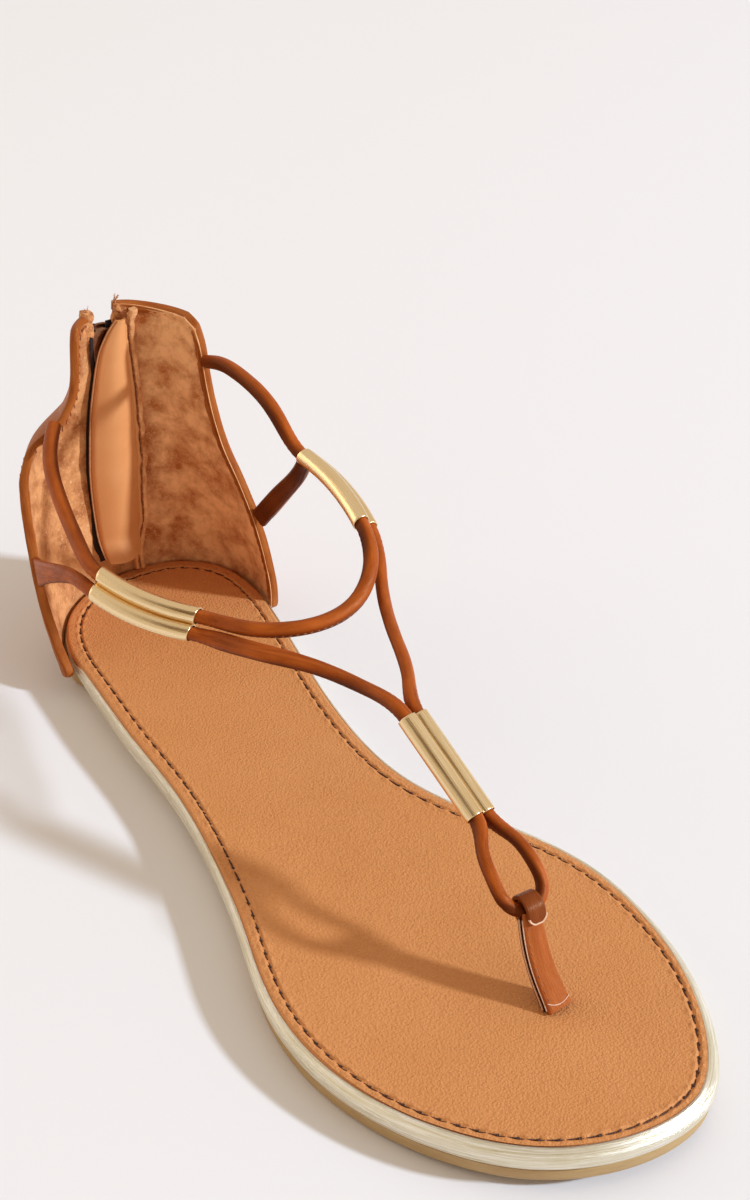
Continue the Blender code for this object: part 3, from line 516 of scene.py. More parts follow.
def toe_rise(x):
    """How far the sole springs up towards the toe."""
    return TOE_SPRING * (np.maximum(x - SPRING_START, 0.0) / (TOE_POINT[0] - SPRING_START)) ** 2


def eased(start, span, x):
    """0 before start, 1 after the span, and half a cosine wave between."""
    return 0.5 - 0.5 * np.cos(np.pi * np.clip((x - start) / span, 0.0, 1.0))


def footbed_top(x):
    return HEEL_TOP + (BALL_TOP - HEEL_TOP) * eased(*TOP_BLEND, x) + toe_rise(x)


def tread_height(x):
    arch = np.clip((x - ARCH_SPAN[0]) / ARCH_SPAN[1], 0.0, 1.0)
    return ARCH_RISE * np.sin(np.pi * arch) ** 2 + toe_rise(x)


def past_cup(x):
    """0 beside the heel cup and 1 past it."""
    return eased(*CUP_END, x)


def inset(loop, amounts):
    """The loop moved inwards by an amount at each point."""
    along = unit(np.roll(loop, -1, axis=0) - np.roll(loop, 1, axis=0))
    return loop + np.column_stack([-along[:, 1], along[:, 0]]) * np.reshape(amounts, (-1, 1))


def shrink(loop, share):
    """The loop drawn towards the sole's middle line."""
    xs, ys = zip(*MIDDLE_LINE)
    x = np.clip(loop[:, 0], xs[0], xs[-1])
    middle = np.column_stack([x, np.interp(x, xs, ys)])
    return middle + (loop - middle) * share


def sole_ring(loop, amounts, height, drop=0.0, share=1.0):
    """A ring of points inset into the sole, a drop under the height there."""
    flat = shrink(inset(loop, amounts), share)
    return np.column_stack([flat, height(flat[:, 0]) - drop])


def slab_faces(rings, count):
    """Faces between rings round the sole; the first and last ring are closed across it, side to side."""
    faces = grid_faces(rings, count, ring=True)
    for start in (0, (rings - 1) * count):
        for i in range(count // 2):
            corners = [i, i + 1, (count - i - 1) % count, (count - i) % count]
            faces.append(tuple(start + c for c in dict.fromkeys(corners)))
    return faces


# %% Footbed with its stitch groove
SEAM_INSET = 4.28            # the seam's distance inside the rand's edge
GROOVE_HALF = 0.55
GROOVE_DEPTH = 0.42
PUCKER = 0.34
ROUND_OVER = 0.95            # radius of the folded edge
edge = from_table(FOOTBED_EDGE, 1, outline[:, 0])
seam_in = np.maximum(SEAM_INSET - edge, 1.6)
stitch_wave = 0.5 - 0.5 * np.cos(2 * np.pi * STITCHES * np.arange(RING_POINTS) / RING_POINTS)


def footbed_ring(amount, drop, share=1.0):
    return sole_ring(outline, edge + amount, footbed_top, drop, share)


rings = [footbed_ring(3.0, FOOTBED_THICK, 0.5), footbed_ring(0.8, FOOTBED_THICK)]
for degrees in np.linspace(-35.0, 90.0, 9):
    angle = math.radians(degrees)
    rings.append(footbed_ring(ROUND_OVER * (1 - math.cos(angle)), ROUND_OVER * (1 - math.sin(angle))))
edge_rings = len(rings)
for across in (-3.2, -2.3, -1.7, -1.25, -1.0, -0.75, -0.5, -0.25, 0.0, 0.25, 0.5, 0.75, 1.0, 1.25, 1.7, 2.4):
    offset = across * GROOVE_HALF
    dip = GROOVE_DEPTH * math.exp(-1.4 * across ** 2) * (0.15 + 0.85 * stitch_wave ** 0.45)
    swell = PUCKER * math.exp(-((abs(across) - 1.5) / 0.6) ** 2) * (1.0 - stitch_wave) ** 1.6
    rings.append(footbed_ring(seam_in + offset, dip - swell))
for share in (0.985, 0.96, 0.92, 0.87, 0.8, 0.72, 0.63, 0.53, 0.43, 0.33, 0.23, 0.13, 0.05):
    rings.append(footbed_ring(seam_in + 2.6 * GROOVE_HALF, 0.0, share))
points = np.vstack(rings)
inner = slice(edge_rings * RING_POINTS, None)            # soft unevenness, and a dip where the post enters
from_post = np.hypot(points[inner, 0] - POST_ROOT[0], points[inner, 1] - POST_ROOT[1])
points[inner, 2] += 0.10 * waviness(points[inner], 17.0) + 0.05 * waviness(points[inner], 6.0, 3.0)
points[inner, 2] -= 0.55 * np.exp(-(from_post / 4.5) ** 2)
new_piece("footbed_covered", "footbed_leather", points, slab_faces(len(rings), RING_POINTS), footbed_leather,
          stands_for="footbed")

# %% [markdown]
# ## Stitches
# A lockstitch shows as short straight dashes of thread that dip into the leather at both ends. They repeat along
# a seam, so one Geometry Nodes tree makes them all: it takes a seam as a line of points, resamples it at the
# stitch pitch, puts one bent piece of thread on each point, turned to the seam and to the surface, and makes the
# instances real. The seam's surface direction travels with it as an attribute.

# %% Finish: waxed polyester thread
# Twisted thread, seen as dark matt dashes with a faint twist.
def thread_material(name, light, dark):
    made, tree, shader = new_material(name, 0.6)
    twist = add_node(tree, "ShaderNodeTexWave", {"bands_direction": "DIAGONAL"}, Vector=in_millimetres(tree),
                     Scale=0.9, Distortion=1.5).outputs["Fac"]
    surface(tree, shader, blend_colours(tree, twist, dark, light), twist, 0.4, 0.0001)
    return made


brown_thread = thread_material("waxed_thread_dark_brown", "5e2a0e", "2c0f04")
# a darker thread for the needle holes: painted shade in the holes
hole_shade = thread_material("thread_with_painted_hole_shade", "4a2412", "2a1207")
tan_thread = thread_material("waxed_thread_tan", "b9692f", "7d3c15")


# %% Trees that set a small shape on points
def scatter_tree(name, sizes, design):
    """A tree that sets one shape on points; design adds the nodes for the points, the shape and its turn."""
    tree = bpy.data.node_groups.new(name, "GeometryNodeTree")
    numbers = [(label, "Int" if isinstance(value, int) else "Float") for label, value in sizes.items()]
    for label, kind in (("Points", "Geometry"), *numbers, ("Finish", "Material")):
        socket = tree.interface.new_socket(label, in_out="INPUT", socket_type="NodeSocket" + kind)
        if label in sizes:
            socket.default_value = sizes[label]
    tree.interface.new_socket("Pieces", in_out="OUTPUT", socket_type="NodeSocketGeometry")
    given = add_node(tree, "NodeGroupInput").outputs
    points, shape, turn = design(tree, given)
    placed = add_node(tree, "GeometryNodeInstanceOnPoints", Points=points, Instance=shape, Rotation=turn)
    real = add_node(tree, "GeometryNodeRealizeInstances", Geometry=placed.outputs[0])
    done = add_node(tree, "GeometryNodeSetMaterial", Geometry=real.outputs[0], Material=given["Finish"])
    add_node(tree, "NodeGroupOutput", Pieces=done.outputs[0])
    return tree


def stitches(tree, given):
    """One bent thread at each step along a seam, turned to the seam and to the surface's facing."""
    ahead, behind, sunk = (
        add_node(tree, "ShaderNodeMath", {"operation": "MULTIPLY"}, i0=given[size], i1=share).outputs[0]
        for size, share in (("Length", 0.5), ("Length", -0.5), ("Arch", -1.0)))
    first, last = (add_node(tree, "ShaderNodeCombineXYZ", X=x, Z=sunk).outputs[0] for x in (behind, ahead))
    crown = add_node(tree, "ShaderNodeCombineXYZ", Z=given["Arch"]).outputs[0]
    arch = add_node(tree, "GeometryNodeCurveQuadraticBezier", Resolution=5, Start=first, Middle=crown, End=last)
    ring = add_node(tree, "GeometryNodeCurvePrimitiveCircle", Resolution=6, Radius=given["Thread"])
    thread = add_node(tree, "GeometryNodeCurveToMesh", Curve=arch.outputs[0], Profile_Curve=ring.outputs[0],
                      Fill_Caps=True)
    seam = add_node(tree, "GeometryNodeMeshToCurve", Mesh=given["Points"])
    spaced = add_node(tree, "GeometryNodeResampleCurve", {"mode": "LENGTH"}, Curve=seam.outputs[0],
                      Length=given["Pitch"])
    facing = add_node(tree, "GeometryNodeInputNamedAttribute", {"data_type": "FLOAT_VECTOR"}, Name="facing")
    tangent = add_node(tree, "GeometryNodeInputTangent")
    turned = add_node(tree, "FunctionNodeAxesToRotation", {"primary_axis": "Z", "secondary_axis": "X"},
                      Primary_Axis=facing.outputs[0], Secondary_Axis=tangent.outputs[0])
    low, high = (add_node(tree, "ShaderNodeMath", {"operation": kind}, i0=given["Yaw"], i1=given["Untidiness"])
                 for kind in ("SUBTRACT", "ADD"))
    loose = add_node(tree, "FunctionNodeRandomValue", {"data_type": "FLOAT"}, Seed=given["Seed"],
                     i2=low.outputs[0], i3=high.outputs[0])
    yaw = add_node(tree, "ShaderNodeCombineXYZ", Z=loose.outputs[1])
    spin = add_node(tree, "FunctionNodeEulerToRotation", Euler=yaw.outputs[0])
    both = add_node(tree, "FunctionNodeRotateRotation", {"rotation_space": "LOCAL"}, Rotation=turned.outputs[0],
                    Rotate_By=spin.outputs[0])
    return spaced.outputs[0], thread.outputs[0], both.outputs[0]


STITCH_TREE = scatter_tree("stitch_row", {"Pitch": 0.0044, "Thread": 0.0003, "Length": 0.003, "Arch": 0.0004,
                                          "Yaw": 0.0, "Untidiness": 0.05, "Seed": 1}, stitches)


# %% Running a tree on a line of points
def seam_mesh(name, lines):
    """Lines of (points, facing) as one mesh of edges with the facing attribute; a third value closes a line."""
    points, edges, facings = [], [], []
    for line, facing, *closed in lines:
        start, last = len(points), len(points) + len(line) - 1
        points += place(line).tolist()
        facings += np.broadcast_to(facing, (len(line), 3)).tolist()
        edges += [(i, i + 1) for i in range(start, last)]
        if closed:
            edges.append((last, start))
    mesh = bpy.data.meshes.new(name)
    mesh.from_pydata(points, edges, [])
    attribute = mesh.attributes.new("facing", "FLOAT_VECTOR", "POINT")
    attribute.data.foreach_set("vector", np.asarray(facings, float).ravel())
    return mesh


def grow(name, slot, lines, tree, values):
    """Runs a node tree on lines of points and keeps the result as a plain mesh piece."""
    source = add_object(name + "_source", seam_mesh(name + "_seam", lines))
    modifier = source.modifiers.new("grow", "NODES")
    modifier.node_group = tree
    sockets = {s.name: s.identifier for s in tree.interface.items_tree if s.in_out == "INPUT"}
    for key, value in values.items():
        modifier[sockets[key]] = value
    done = as_mesh(source)
    done.name = name
    done.shade_smooth()
    print(f"{name}: {len(done.polygons)} faces from {tree.name}")
    return belongs(add_object(name, done), slot)


def stitch_row(name, slot, lines, pitch, length, thread, finish, arch=0.35, yaw=0.0, seed=1):
    """Stitches along the lines, sizes in millimetres."""
    return grow(name, slot, lines, STITCH_TREE,
                {"Pitch": pitch * MM, "Length": length * MM, "Thread": thread / 2 * MM, "Arch": arch * MM,
                 "Yaw": math.radians(yaw), "Seed": seed, "Finish": finish})


# %% Footbed stitches
THREAD_SUNK = 0.30           # the thread's middle below the footbed's top
seam_flat = inset(outline, edge + seam_in)
seam_line = np.column_stack([seam_flat, footbed_top(seam_flat[:, 0]) - THREAD_SUNK])
seam_pitch = perimeter(seam_line) / STITCHES
half_pitch = RING_POINTS // STITCHES // 2
seam_line = np.roll(seam_line, -half_pitch, axis=0)
holes_line = np.roll(seam_line, half_pitch, axis=0) + (0.0, 0.0, 0.06)     # where the thread dives between stitches
stitch_row("footbed_stitches", "footbed_leather", [(seam_line, UP, True)], seam_pitch, 4.2, 0.38, brown_thread,
           arch=0.14, yaw=5.0)
# short dark thread bits at the needle holes: painted shade in the holes
stitch_row("footbed_needle_holes", "footbed_leather", [(holes_line, UP, True)], seam_pitch, 0.75, 0.6, hole_shade,
           arch=0.0, yaw=20.0, seed=3)

# %% [markdown]
# ## Gold rand
# Between footbed and outsole runs a rand: a board edge wrapped in leather with a gold foil on it. It bulges at
# its middle and shines almost white where it faces the light. The same ring method gives its smooth, slightly
# uneven bulge, and a metal shader with fine wrinkles along the edge gives the foil.

# %% Finish: foil-laminated leather, pale gold
# A thin metal film over leather: mirror-like but broken up by the grain, with faint creases along the edge.
gold_foil, tree, shader = new_material("pale_gold_foil_leather", 0.33, 0.8)
crinkle = add_node(tree, "ShaderNodeTexNoise", Vector=along_piece(tree, (0.06, 1.5, 1.0)), Scale=1.0, Detail=6.0,
                   Roughness=0.7).outputs["Fac"]
streaks = add_node(tree, "ShaderNodeMapRange", Value=crinkle, i1=0.38, i2=0.62)
surface(tree, shader, blend_colours(tree, streaks.outputs[0], "dccfa9", "fff9ec"), crinkle, 0.5, 0.0007,
        (crinkle, 0.26, 0.42))

# %% Rand
SIDE_POINTS = 520
WAIST_DROP = 1.3             # the rand reaches lower at the waist, where the outsole is set back under it
side_line = outline[::RING_POINTS // SIDE_POINTS]
side_edge = from_table(FOOTBED_EDGE, 1, side_line[:, 0])
seat = FOOTBED_THICK + GAP
lip_room = side_edge - GAP


def waist(start, full):
    """1 along the waist and 0 at the heel and the ball; it rises from start to full."""
    return smooth_step(start, full, side_line[:, 0]) * smooth_step(168.0, 130.0, side_line[:, 0])


def lip_drop(drop):
    """The lip stands up beside the footbed, but lies under it inside the heel cup."""
    lowest = seat - 0.1
    return lowest - (lowest - drop) * past_cup(side_line[:, 0])


flat_line = np.zeros(SIDE_POINTS)
lower = WAIST_DROP * waist(34.0, 52.0)
profile = np.array([         # inset, drop
    (flat_line + RAND_UNDERCUT, RAND_BOTTOM + lower),
    (flat_line + RAND_UNDERCUT * 0.35, RAND_BOTTOM - 0.45 + lower),
    (flat_line + RAND_UNDERCUT * 0.06, (RAND_BOTTOM + RAND_WIDEST) / 2 + lower * 0.6),
    (flat_line, RAND_WIDEST + lower * 0.3),
    (lip_room * 0.1, lip_drop(RAND_WIDEST - 1.0)),
    (lip_room * 0.38, lip_drop(LIP_DROP + 0.6)),
    (lip_room * 0.8, lip_drop(LIP_DROP)),
    (side_edge, lip_drop(LIP_DROP + 0.1)),
    (side_edge + 0.12, lip_drop(LIP_DROP + 0.45)),
])
rings = [sole_ring(side_line, 4.0 + flat_line, footbed_top, RAND_BOTTOM, 0.5)]
for step in np.linspace(0, len(profile) - 1, 3 * (len(profile) - 1) + 1):
    i = min(int(step), len(profile) - 2)
    a, b, c, d = profile[[max(i - 1, 0), i, i + 1, min(i + 2, len(profile) - 1)]]
    t = step - i             # a Catmull-Rom curve between two rows of the profile
    amounts, drops = 0.5 * (2 * b + (c - a) * t + (2 * a - 5 * b + 4 * c - d) * t ** 2
                            + (3 * b - a - 3 * c + d) * t ** 3)
    rings.append(sole_ring(side_line, amounts, footbed_top, drops))
rings.append(sole_ring(side_line, lip_room, footbed_top, seat))
rings.append(sole_ring(side_line, 4.0 + flat_line, footbed_top, seat, 0.5))
points = np.vstack(rings)
sides = slice(SIDE_POINTS, (len(rings) - 2) * SIDE_POINTS)
points[sides, 2] += 0.05 * waviness(points[sides], 7.0, 5.0)
faces = slab_faces(len(rings), SIDE_POINTS)
uv = [(u, v) for v, u in grid_uv(0.6 * np.arange(len(rings)), lengths(np.vstack([side_line, side_line[:1]])))]
uv += [tuple(points[i][:2]) for face in faces[(len(rings) - 1) * SIDE_POINTS:] for i in face]
new_piece("gold_rand", "gold_rand", points, faces, gold_foil, uv, sharp=60.0, stands_for="midsole")

# %% [markdown]
# ## Outsole
# The outsole is a thin slab of moulded rubber, sprayed gold-tan on its edge, with a fine ribbed tread on its
# underside. The slab is rings again. The ribs repeat, so a small Geometry Nodes tree scatters one rib over a
# grid of points that lies inside the outline; the slab is hollowed by the ribs' height so they reach the floor.

# %% Finish: moulded thermoplastic rubber, sprayed tan
# A dull rubber edge with a slight metallic spray and fine scuffs along the side.
sole_rubber, tree, shader = new_material("sprayed_tan_rubber", 0.5, 0.12)
mm = in_millimetres(tree)
scuffs = add_node(tree, "ShaderNodeTexNoise", Scale=1.0, Detail=5.0, Roughness=0.6,
                  Vector=add_node(tree, "ShaderNodeMapping", Vector=mm, Scale=(0.15, 0.15, 1.6)).outputs[0])
grit = add_node(tree, "ShaderNodeTexNoise", Vector=mm, Scale=1 / 0.35, Detail=2.0)
both = add_node(tree, "ShaderNodeMath", {"operation": "ADD"}, i0=scuffs.outputs["Fac"], i1=grit.outputs["Fac"])
surface(tree, shader, blend_colours(tree, scuffs.outputs["Fac"], "a07c4c", "c9a874"), both.outputs[0], 0.3, 0.0002)

# %% Outsole slab
RIB_HEIGHT = 0.45
LEDGE = 1.2                  # how far the slab lies inside the rand
SET_BACK = 2.2               # and how much farther at the waist
under_cup = WALL + GAP
ledge = (LEDGE - under_cup + (under_cup + OUTSOLE_INSET - LEDGE) * past_cup(side_line[:, 0])
         + SET_BACK * waist(18.0, 40.0))


def outsole_top(x):
    return footbed_top(x) - RAND_BOTTOM - GAP


rings = [sole_ring(side_line, ledge + more, height, *drop_share) for more, height, *drop_share in (
    (3.0, tread_height, -RIB_HEIGHT, 0.45), (3.0, tread_height, -RIB_HEIGHT, 0.8),
    (2.6, tread_height, -RIB_HEIGHT), (2.2, tread_height), (0.8, tread_height), (0.45, tread_height, -0.12),
    (0.2, tread_height, -0.35), (0.06, tread_height, -0.7), (0.0, tread_height, -1.2), (0.0, outsole_top, 0.9),
    (0.05, outsole_top, 0.5), (0.15, outsole_top, 0.15), (0.4, outsole_top), (4.0, outsole_top, 0.0, 0.5))]
new_piece("rubber_outsole", "outsole_rubber", np.vstack(rings), slab_faces(len(rings), SIDE_POINTS), sole_rubber,
          stands_for="outsole")


# %% Tread ribs
def one_rib(tree, given):
    """A small rib on each point, turned by the point's facing angles."""
    size = add_node(tree, "ShaderNodeCombineXYZ", X=given["Width"], Y=given["Length"], Z=given["Height"])
    rib = add_node(tree, "GeometryNodeMeshCube", Size=size.outputs[0])
    dots = add_node(tree, "GeometryNodeMeshToPoints", Mesh=given["Points"])
    turn = add_node(tree, "GeometryNodeInputNamedAttribute", {"data_type": "FLOAT_VECTOR"}, Name="facing")
    spin = add_node(tree, "FunctionNodeEulerToRotation", Euler=turn.outputs[0])
    return dots.outputs[0], rib.outputs[0], spin.outputs[0]


RIB_STEP_X, RIB_STEP_Y = 3.4, 5.2
RIB_LENGTH, RIB_WIDTH = 4.2, 1.3
RIB_MARGIN = 2.0             # from the ribs' middles to the edge of their field
RIB_SUNK = 0.12              # how far a rib starts inside the slab, and stands out of it
RIB_TURN = math.radians(24.0)
SMOOTH_WAIST = (84.0, 124.0)
inside_line = inset(side_line, ledge + 5.0)
spots = []
for row, x in enumerate(np.arange(5.0, 243.0, RIB_STEP_X)):
    near = np.abs(inside_line[:, 0] - x) < 3.0
    if SMOOTH_WAIST[0] < x < SMOOTH_WAIST[1] or not near.any():
        continue
    low, high = inside_line[near, 1].min(), inside_line[near, 1].max()
    for y in np.arange(low + RIB_MARGIN, high - RIB_MARGIN, RIB_STEP_Y) + (row % 2) * RIB_STEP_Y / 2:
        if y < high - RIB_MARGIN:
            spots.append(([(x, y, float(tread_height(x)) + RIB_HEIGHT / 2 + RIB_SUNK)],
                          (0.0, 0.0, RIB_TURN if row % 2 else -RIB_TURN)))
grow("tread_ribs", "outsole_rubber", spots,
     scatter_tree("tread_ribs", {"Length": 0.004, "Width": 0.0012, "Height": 0.0008}, one_rib),
     {"Length": RIB_LENGTH * MM, "Width": RIB_WIDTH * MM, "Height": (RIB_HEIGHT + 2 * RIB_SUNK) * MM,
      "Finish": sole_rubber})

# %% [markdown]
# ## Heel cup
# The heel cup is two layers of leather glued together: a smooth outer quarter and a soft brushed lining, folded
# under a narrow binding at every open edge. It is a real 2 mm wall with a slot for the zip. Each layer is a grid
# of points on the cup's surface, at its own distance from the inner face, closed into a thin solid. Soft creases
# are pressed into the lining, as glued lining has where it follows two curves at once.

# %% Finish: smooth aniline leather, wrapped, with painted shade on some pieces' shaded sides
# Reddish tan with a soft shine, darker along its length where it was pulled tight.
def smooth_leather(name, light, dark, roughness, pull, grain_size, painted_light_and_wear=None):
    """Leather whose grain is stretched along the piece's own UV; the last colour, if given, is mixed in by each
    point's stored value as painted shade and random darker tone.
    """
    made, tree, shader = new_material(name, roughness, Specular_IOR_Level=0.24, Specular_Tint=linear("ffcf9c"))
    stretched = along_piece(tree, (1 / pull, 1.0, 1.0))
    dye = add_node(tree, "ShaderNodeTexNoise", Vector=stretched, Scale=1 / 3.0, Detail=4.0, Roughness=0.6)
    fibres = add_node(tree, "ShaderNodeTexNoise", Vector=stretched, Scale=1 / grain_size, Detail=4.0,
                      Roughness=0.65).outputs["Fac"]
    share = add_node(tree, "ShaderNodeMapRange", Value=dye.outputs["Fac"], i1=0.25, i2=0.75)
    tone = blend_colours(tree, share.outputs[0], dark, light)
    if painted_light_and_wear:
        # painted shade: the stored value darkens a piece's shaded side towards the last colour
        shade_and_wear_share = add_node(tree, "ShaderNodeAttribute", {"attribute_name": "painted_light_and_wear"})
        tone = blend_colours(tree, shade_and_wear_share.outputs["Fac"], tone, painted_light_and_wear)
    surface(tree, shader, tone, fibres, 0.5, 0.0004, (fibres, roughness - 0.08, roughness + 0.1))
    return made


binding_leather = smooth_leather("aniline_leather_binding", "b5672c", "88390f", 0.42, 3.0, 0.5)
cord_leather = smooth_leather("aniline_leather_cord", "bd5d20", "863608", 0.42, 4.0, 0.8, "481403")
post_leather = smooth_leather("aniline_leather_post", "bd6630", "984717", 0.36, 5.0, 0.6, "4a1604")

# %% Finish: brushed microfibre suede
# Matt nap that turns light or dark as it was last stroked, so it shows soft cloudy patches and bright flecks.
suede, tree, shader = new_material("brushed_microfibre_suede", 0.92, Sheen_Weight=0.35, Sheen_Roughness=0.5,
                                   Sheen_Tint=linear("e8b98a"), Specular_IOR_Level=0.2)
mm = in_millimetres(tree)
clouds = add_node(tree, "ShaderNodeTexNoise", Vector=mm, Scale=1 / 7.0, Detail=6.0, Roughness=0.66, Distortion=0.15)
flecks = add_node(tree, "ShaderNodeTexNoise", Vector=mm, Scale=1 / 0.8, Detail=4.0, Roughness=0.8)
nap_cloud = add_node(tree, "ShaderNodeMapRange", {"clamp": False}, Value=clouds.outputs["Fac"], i1=0.36, i2=0.64,
                     i3=-0.45, i4=0.55)
painted_crest_light = add_node(tree, "ShaderNodeAttribute", {"attribute_name": "painted_light_and_wear"})    # fold crests are painted paler and folds darker: painted light and shade
nap_and_painted_crests = add_node(tree, "ShaderNodeMath", {"operation": "MULTIPLY_ADD", "use_clamp": True},
               i0=painted_crest_light.outputs["Fac"], i1=0.9, i2=nap_cloud.outputs[0])
across_shoe = add_node(tree, "ShaderNodeSeparateXYZ", i0=mm).outputs["Y"]
painted_inner_side_light = add_node(tree, "ShaderNodeMapRange", {"interpolation_type": "SMOOTHSTEP"}, Value=across_shoe, i1=-2.0,
                   i2=14.0)     # the inner side's lining is painted paler: painted light on that side
tone = blend_colours(tree, painted_inner_side_light.outputs[0], blend_colours(tree, nap_and_painted_crests.outputs[0], "9c5526", "dd9a60"),
                     blend_colours(tree, nap_and_painted_crests.outputs[0], "b46630", "f9bf86"))
fleck = add_node(tree, "ShaderNodeMapRange", Value=flecks.outputs["Fac"], i1=0.56, i2=0.74, i3=0.0, i4=0.75)
surface(tree, shader, blend_colours(tree, fleck.outputs[0], tone, "ffdcae"), flecks.outputs["Fac"], 0.5, 0.0003)

# %% Finish: suede turned in and crumpled
# The same brushed lining, rubbed darker and redder where the fold was handled.
raw_fold, tree, shader = new_material("handled_suede_fold", 0.9)
rubbed = add_node(tree, "ShaderNodeTexNoise", Vector=in_millimetres(tree), Scale=1 / 2.2, Detail=6.0,
                  Roughness=0.75).outputs["Fac"]
share = add_node(tree, "ShaderNodeMapRange", Value=rubbed, i1=0.36, i2=0.62)
surface(tree, shader, blend_colours(tree, share.outputs[0], "8a4218", "eba263"), rubbed, 0.9, 0.0008)


# %% The cup's surface
def cup(column, z):
    """One of the heel cup's measures at a height."""
    return from_table(HEEL_CUP, column, z)


def front_angle(z, side):
    """The angle at which a side's wing ends."""
    return np.arccos(1.0 - (cup(OUTER_FRONT if side < 0 else INNER_FRONT, z) - cup(BACK, z)) / cup(DEPTH, z))


def cup_point(z, angle, side, out):
    """A point on the cup's inner face or out beyond it; angle 0 is the back, side -1 outer and 1 inner."""
    z, angle, out = np.broadcast_arrays(np.asarray(z, float), np.asarray(angle, float), np.asarray(out, float))
    half = cup(OUTER_HALF if side < 0 else INNER_HALF, z) + out
    x = cup(BACK, z) - out + (cup(DEPTH, z) + out) * (1.0 - np.cos(angle))
    y = side * half * np.sin(angle) ** CUP_SQUARENESS + cup(SWAY, z) * np.cos(angle)
    lift = side * COLLAR_TILT * (z / CUP_TOP) ** 2 * np.sin(angle) * out / WALL
    if side > 0:
        lift = lift + COLLAR_PEAK * (z / CUP_TOP) ** 8 * (np.exp(-(angle / 0.55) ** 2) - 0.25)
    return np.stack([x, y, z + lift], axis=-1)


def slot_angle(z, side, half_slot=SLOT_WIDTH / 2):
    """The angle at which the wall reaches the zip's slot."""
    angles = np.linspace(0.0, 0.6, 400)
    found = [angles[np.argmax(cup_point(one, angles, side, WALL / 2)[:, 1] * side >= half_slot)]
             for one in np.atleast_1d(z)]
    return np.array(found)


# %% One layer of the cup
SIDE_COLUMNS = 104
SLOT_COLUMNS = 8
cup_rows = np.concatenate([np.linspace(CUP_BOTTOM, SLOT_BOTTOM, 16)[:-1], np.linspace(SLOT_BOTTOM, CUP_TOP, 140)])


def cup_row(z, out):
    """Points from the outer wing round the back to the inner wing."""
    halves = []
    for side in (-1, 1):
        back = slot_angle(z, side)[0]
        angles = back + (front_angle(z, side) - back) * np.linspace(0.0, 1.0, SIDE_COLUMNS)
        halves.append(cup_point(z, angles, side, out))
    outer, inner = halves[0][::-1], halves[1]
    middle = outer[-1] + (inner[0] - outer[-1]) * np.linspace(0.0, 1.0, SLOT_COLUMNS + 2)[1:-1, None]
    return np.vstack([outer, middle, inner])


def cup_layer(name, out_front, out_back, finish, press=None, **role):
    """A closed layer of the heel cup between two distances from its inner face, with the slot left open."""
    front, back = (np.array([cup_row(z, out) for z in cup_rows]) for out in (out_front, out_back))
    columns = front.shape[1]
    if press:
        front = press(front)
    faces = []
    for face in grid_faces(len(cup_rows), columns):
        row, column = divmod(face[0], columns)
        if not (0 <= column - SIDE_COLUMNS + 1 <= SLOT_COLUMNS and cup_rows[row] >= SLOT_BOTTOM - 0.01):
            faces.append(face)
    points, faces = thicken(front.reshape(-1, 3), back.reshape(-1, 3), faces)
    used = sorted({i for face in faces for i in face})
    number = {old: new for new, old in enumerate(used)}
    uv = [(points[i][2], math.hypot(points[i][0], points[i][1])) for face in faces for i in face]
    return new_piece(name, "quarter_leather", points[used], [tuple(number[i] for i in face) for face in faces],
                     finish, uv, **role)


# %% Lining and outer quarter
LINING_OUT = 0.8             # the lining lies between the inner face and this distance out
CREASE = 1.5                 # height of the folds
SEAM_FROM_EDGE = 2.5         # the binding's stitches lie this far inside the wall's edge
CREASE_SLANT = math.radians(48)


def fold_height(flat):
    """The lining's slanting folds: 1 on a crest, -1 in a fold, with calm patches between."""
    # coordinates along and over the folds, which are about 4.6 mm wide and wander by 2.2 mm
    round_cup = np.arctan2(flat[:, 1] - 2.0, 25.0 - flat[:, 0]) * 24.0
    along = round_cup * math.cos(CREASE_SLANT) - flat[:, 2] * math.sin(CREASE_SLANT)
    over = round_cup * math.sin(CREASE_SLANT) + flat[:, 2] * math.cos(CREASE_SLANT)
    drift = 2.2 * waviness(flat, 16.0, 5.0)
    folds = waviness(np.column_stack([along / 4.2, over + drift, flat[:, 0] * 0]), 4.6, 11.0)
    ridges = 1.0 - 2.6 * np.abs(folds)
    height = 0.6 * ridges + 0.5 * folds + 0.22 * waviness(flat, 2.6, 7.0)
    return height * (0.55 + 0.45 * waviness(flat, 17.0, 9.0))


def press_creases(grid):
    """The folds in the lining's face, and a groove where the binding's stitches pull it down."""
    flat = grid.reshape(-1, 3)
    to_front = np.linalg.norm(grid - np.where(np.arange(grid.shape[1])[None, :, None] < grid.shape[1] / 2,
                                              grid[:, :1], grid[:, -1:]), axis=2).ravel()
    to_top = (grid[-1:, :, 2] - grid[:, :, 2]).ravel()
    to_edge = np.minimum(to_front, to_top)
    fade = smooth_step(9.0, 18.0, flat[:, 2]) * smooth_step(2.2, 7.0, to_edge)
    groove = 0.42 * np.exp(-((to_edge - SEAM_FROM_EDGE) / 0.55) ** 2)
    outwards = unit((flat - np.array((25.0, 2.0, 0.0))) * (1.0, 1.0, 0.0))
    moved = flat + outwards * (groove - CREASE * 0.5 * fold_height(flat) * fade)[:, None]
    return moved.reshape(grid.shape)


lining = cup_layer("heel_lining", 0.0, LINING_OUT, suede, press_creases)
# the fold heights paint the lining's crests paler and its folds darker: painted light and shade on the creases
lining_points = np.empty(len(lining.data.vertices) * 3)
lining.data.vertices.foreach_get("co", lining_points)
paint(lining, 0.5 + 0.5 * fold_height(lining_points.reshape(-1, 3) / MM))
cup_layer("heel_quarter_outside", 1.2, WALL, outside_leather, stands_for="quarter")

# %% [markdown]
# ## Binding
# A strip of the outer leather is folded over the cup's raw edges and sewn down, so every open edge ends in a
# smooth rounded roll about 2.5 mm wide with a row of stitches along it. It is a bar whose U-shaped section rides
# along the edge: the path runs from the zip along the collar and down each wing to the sole.

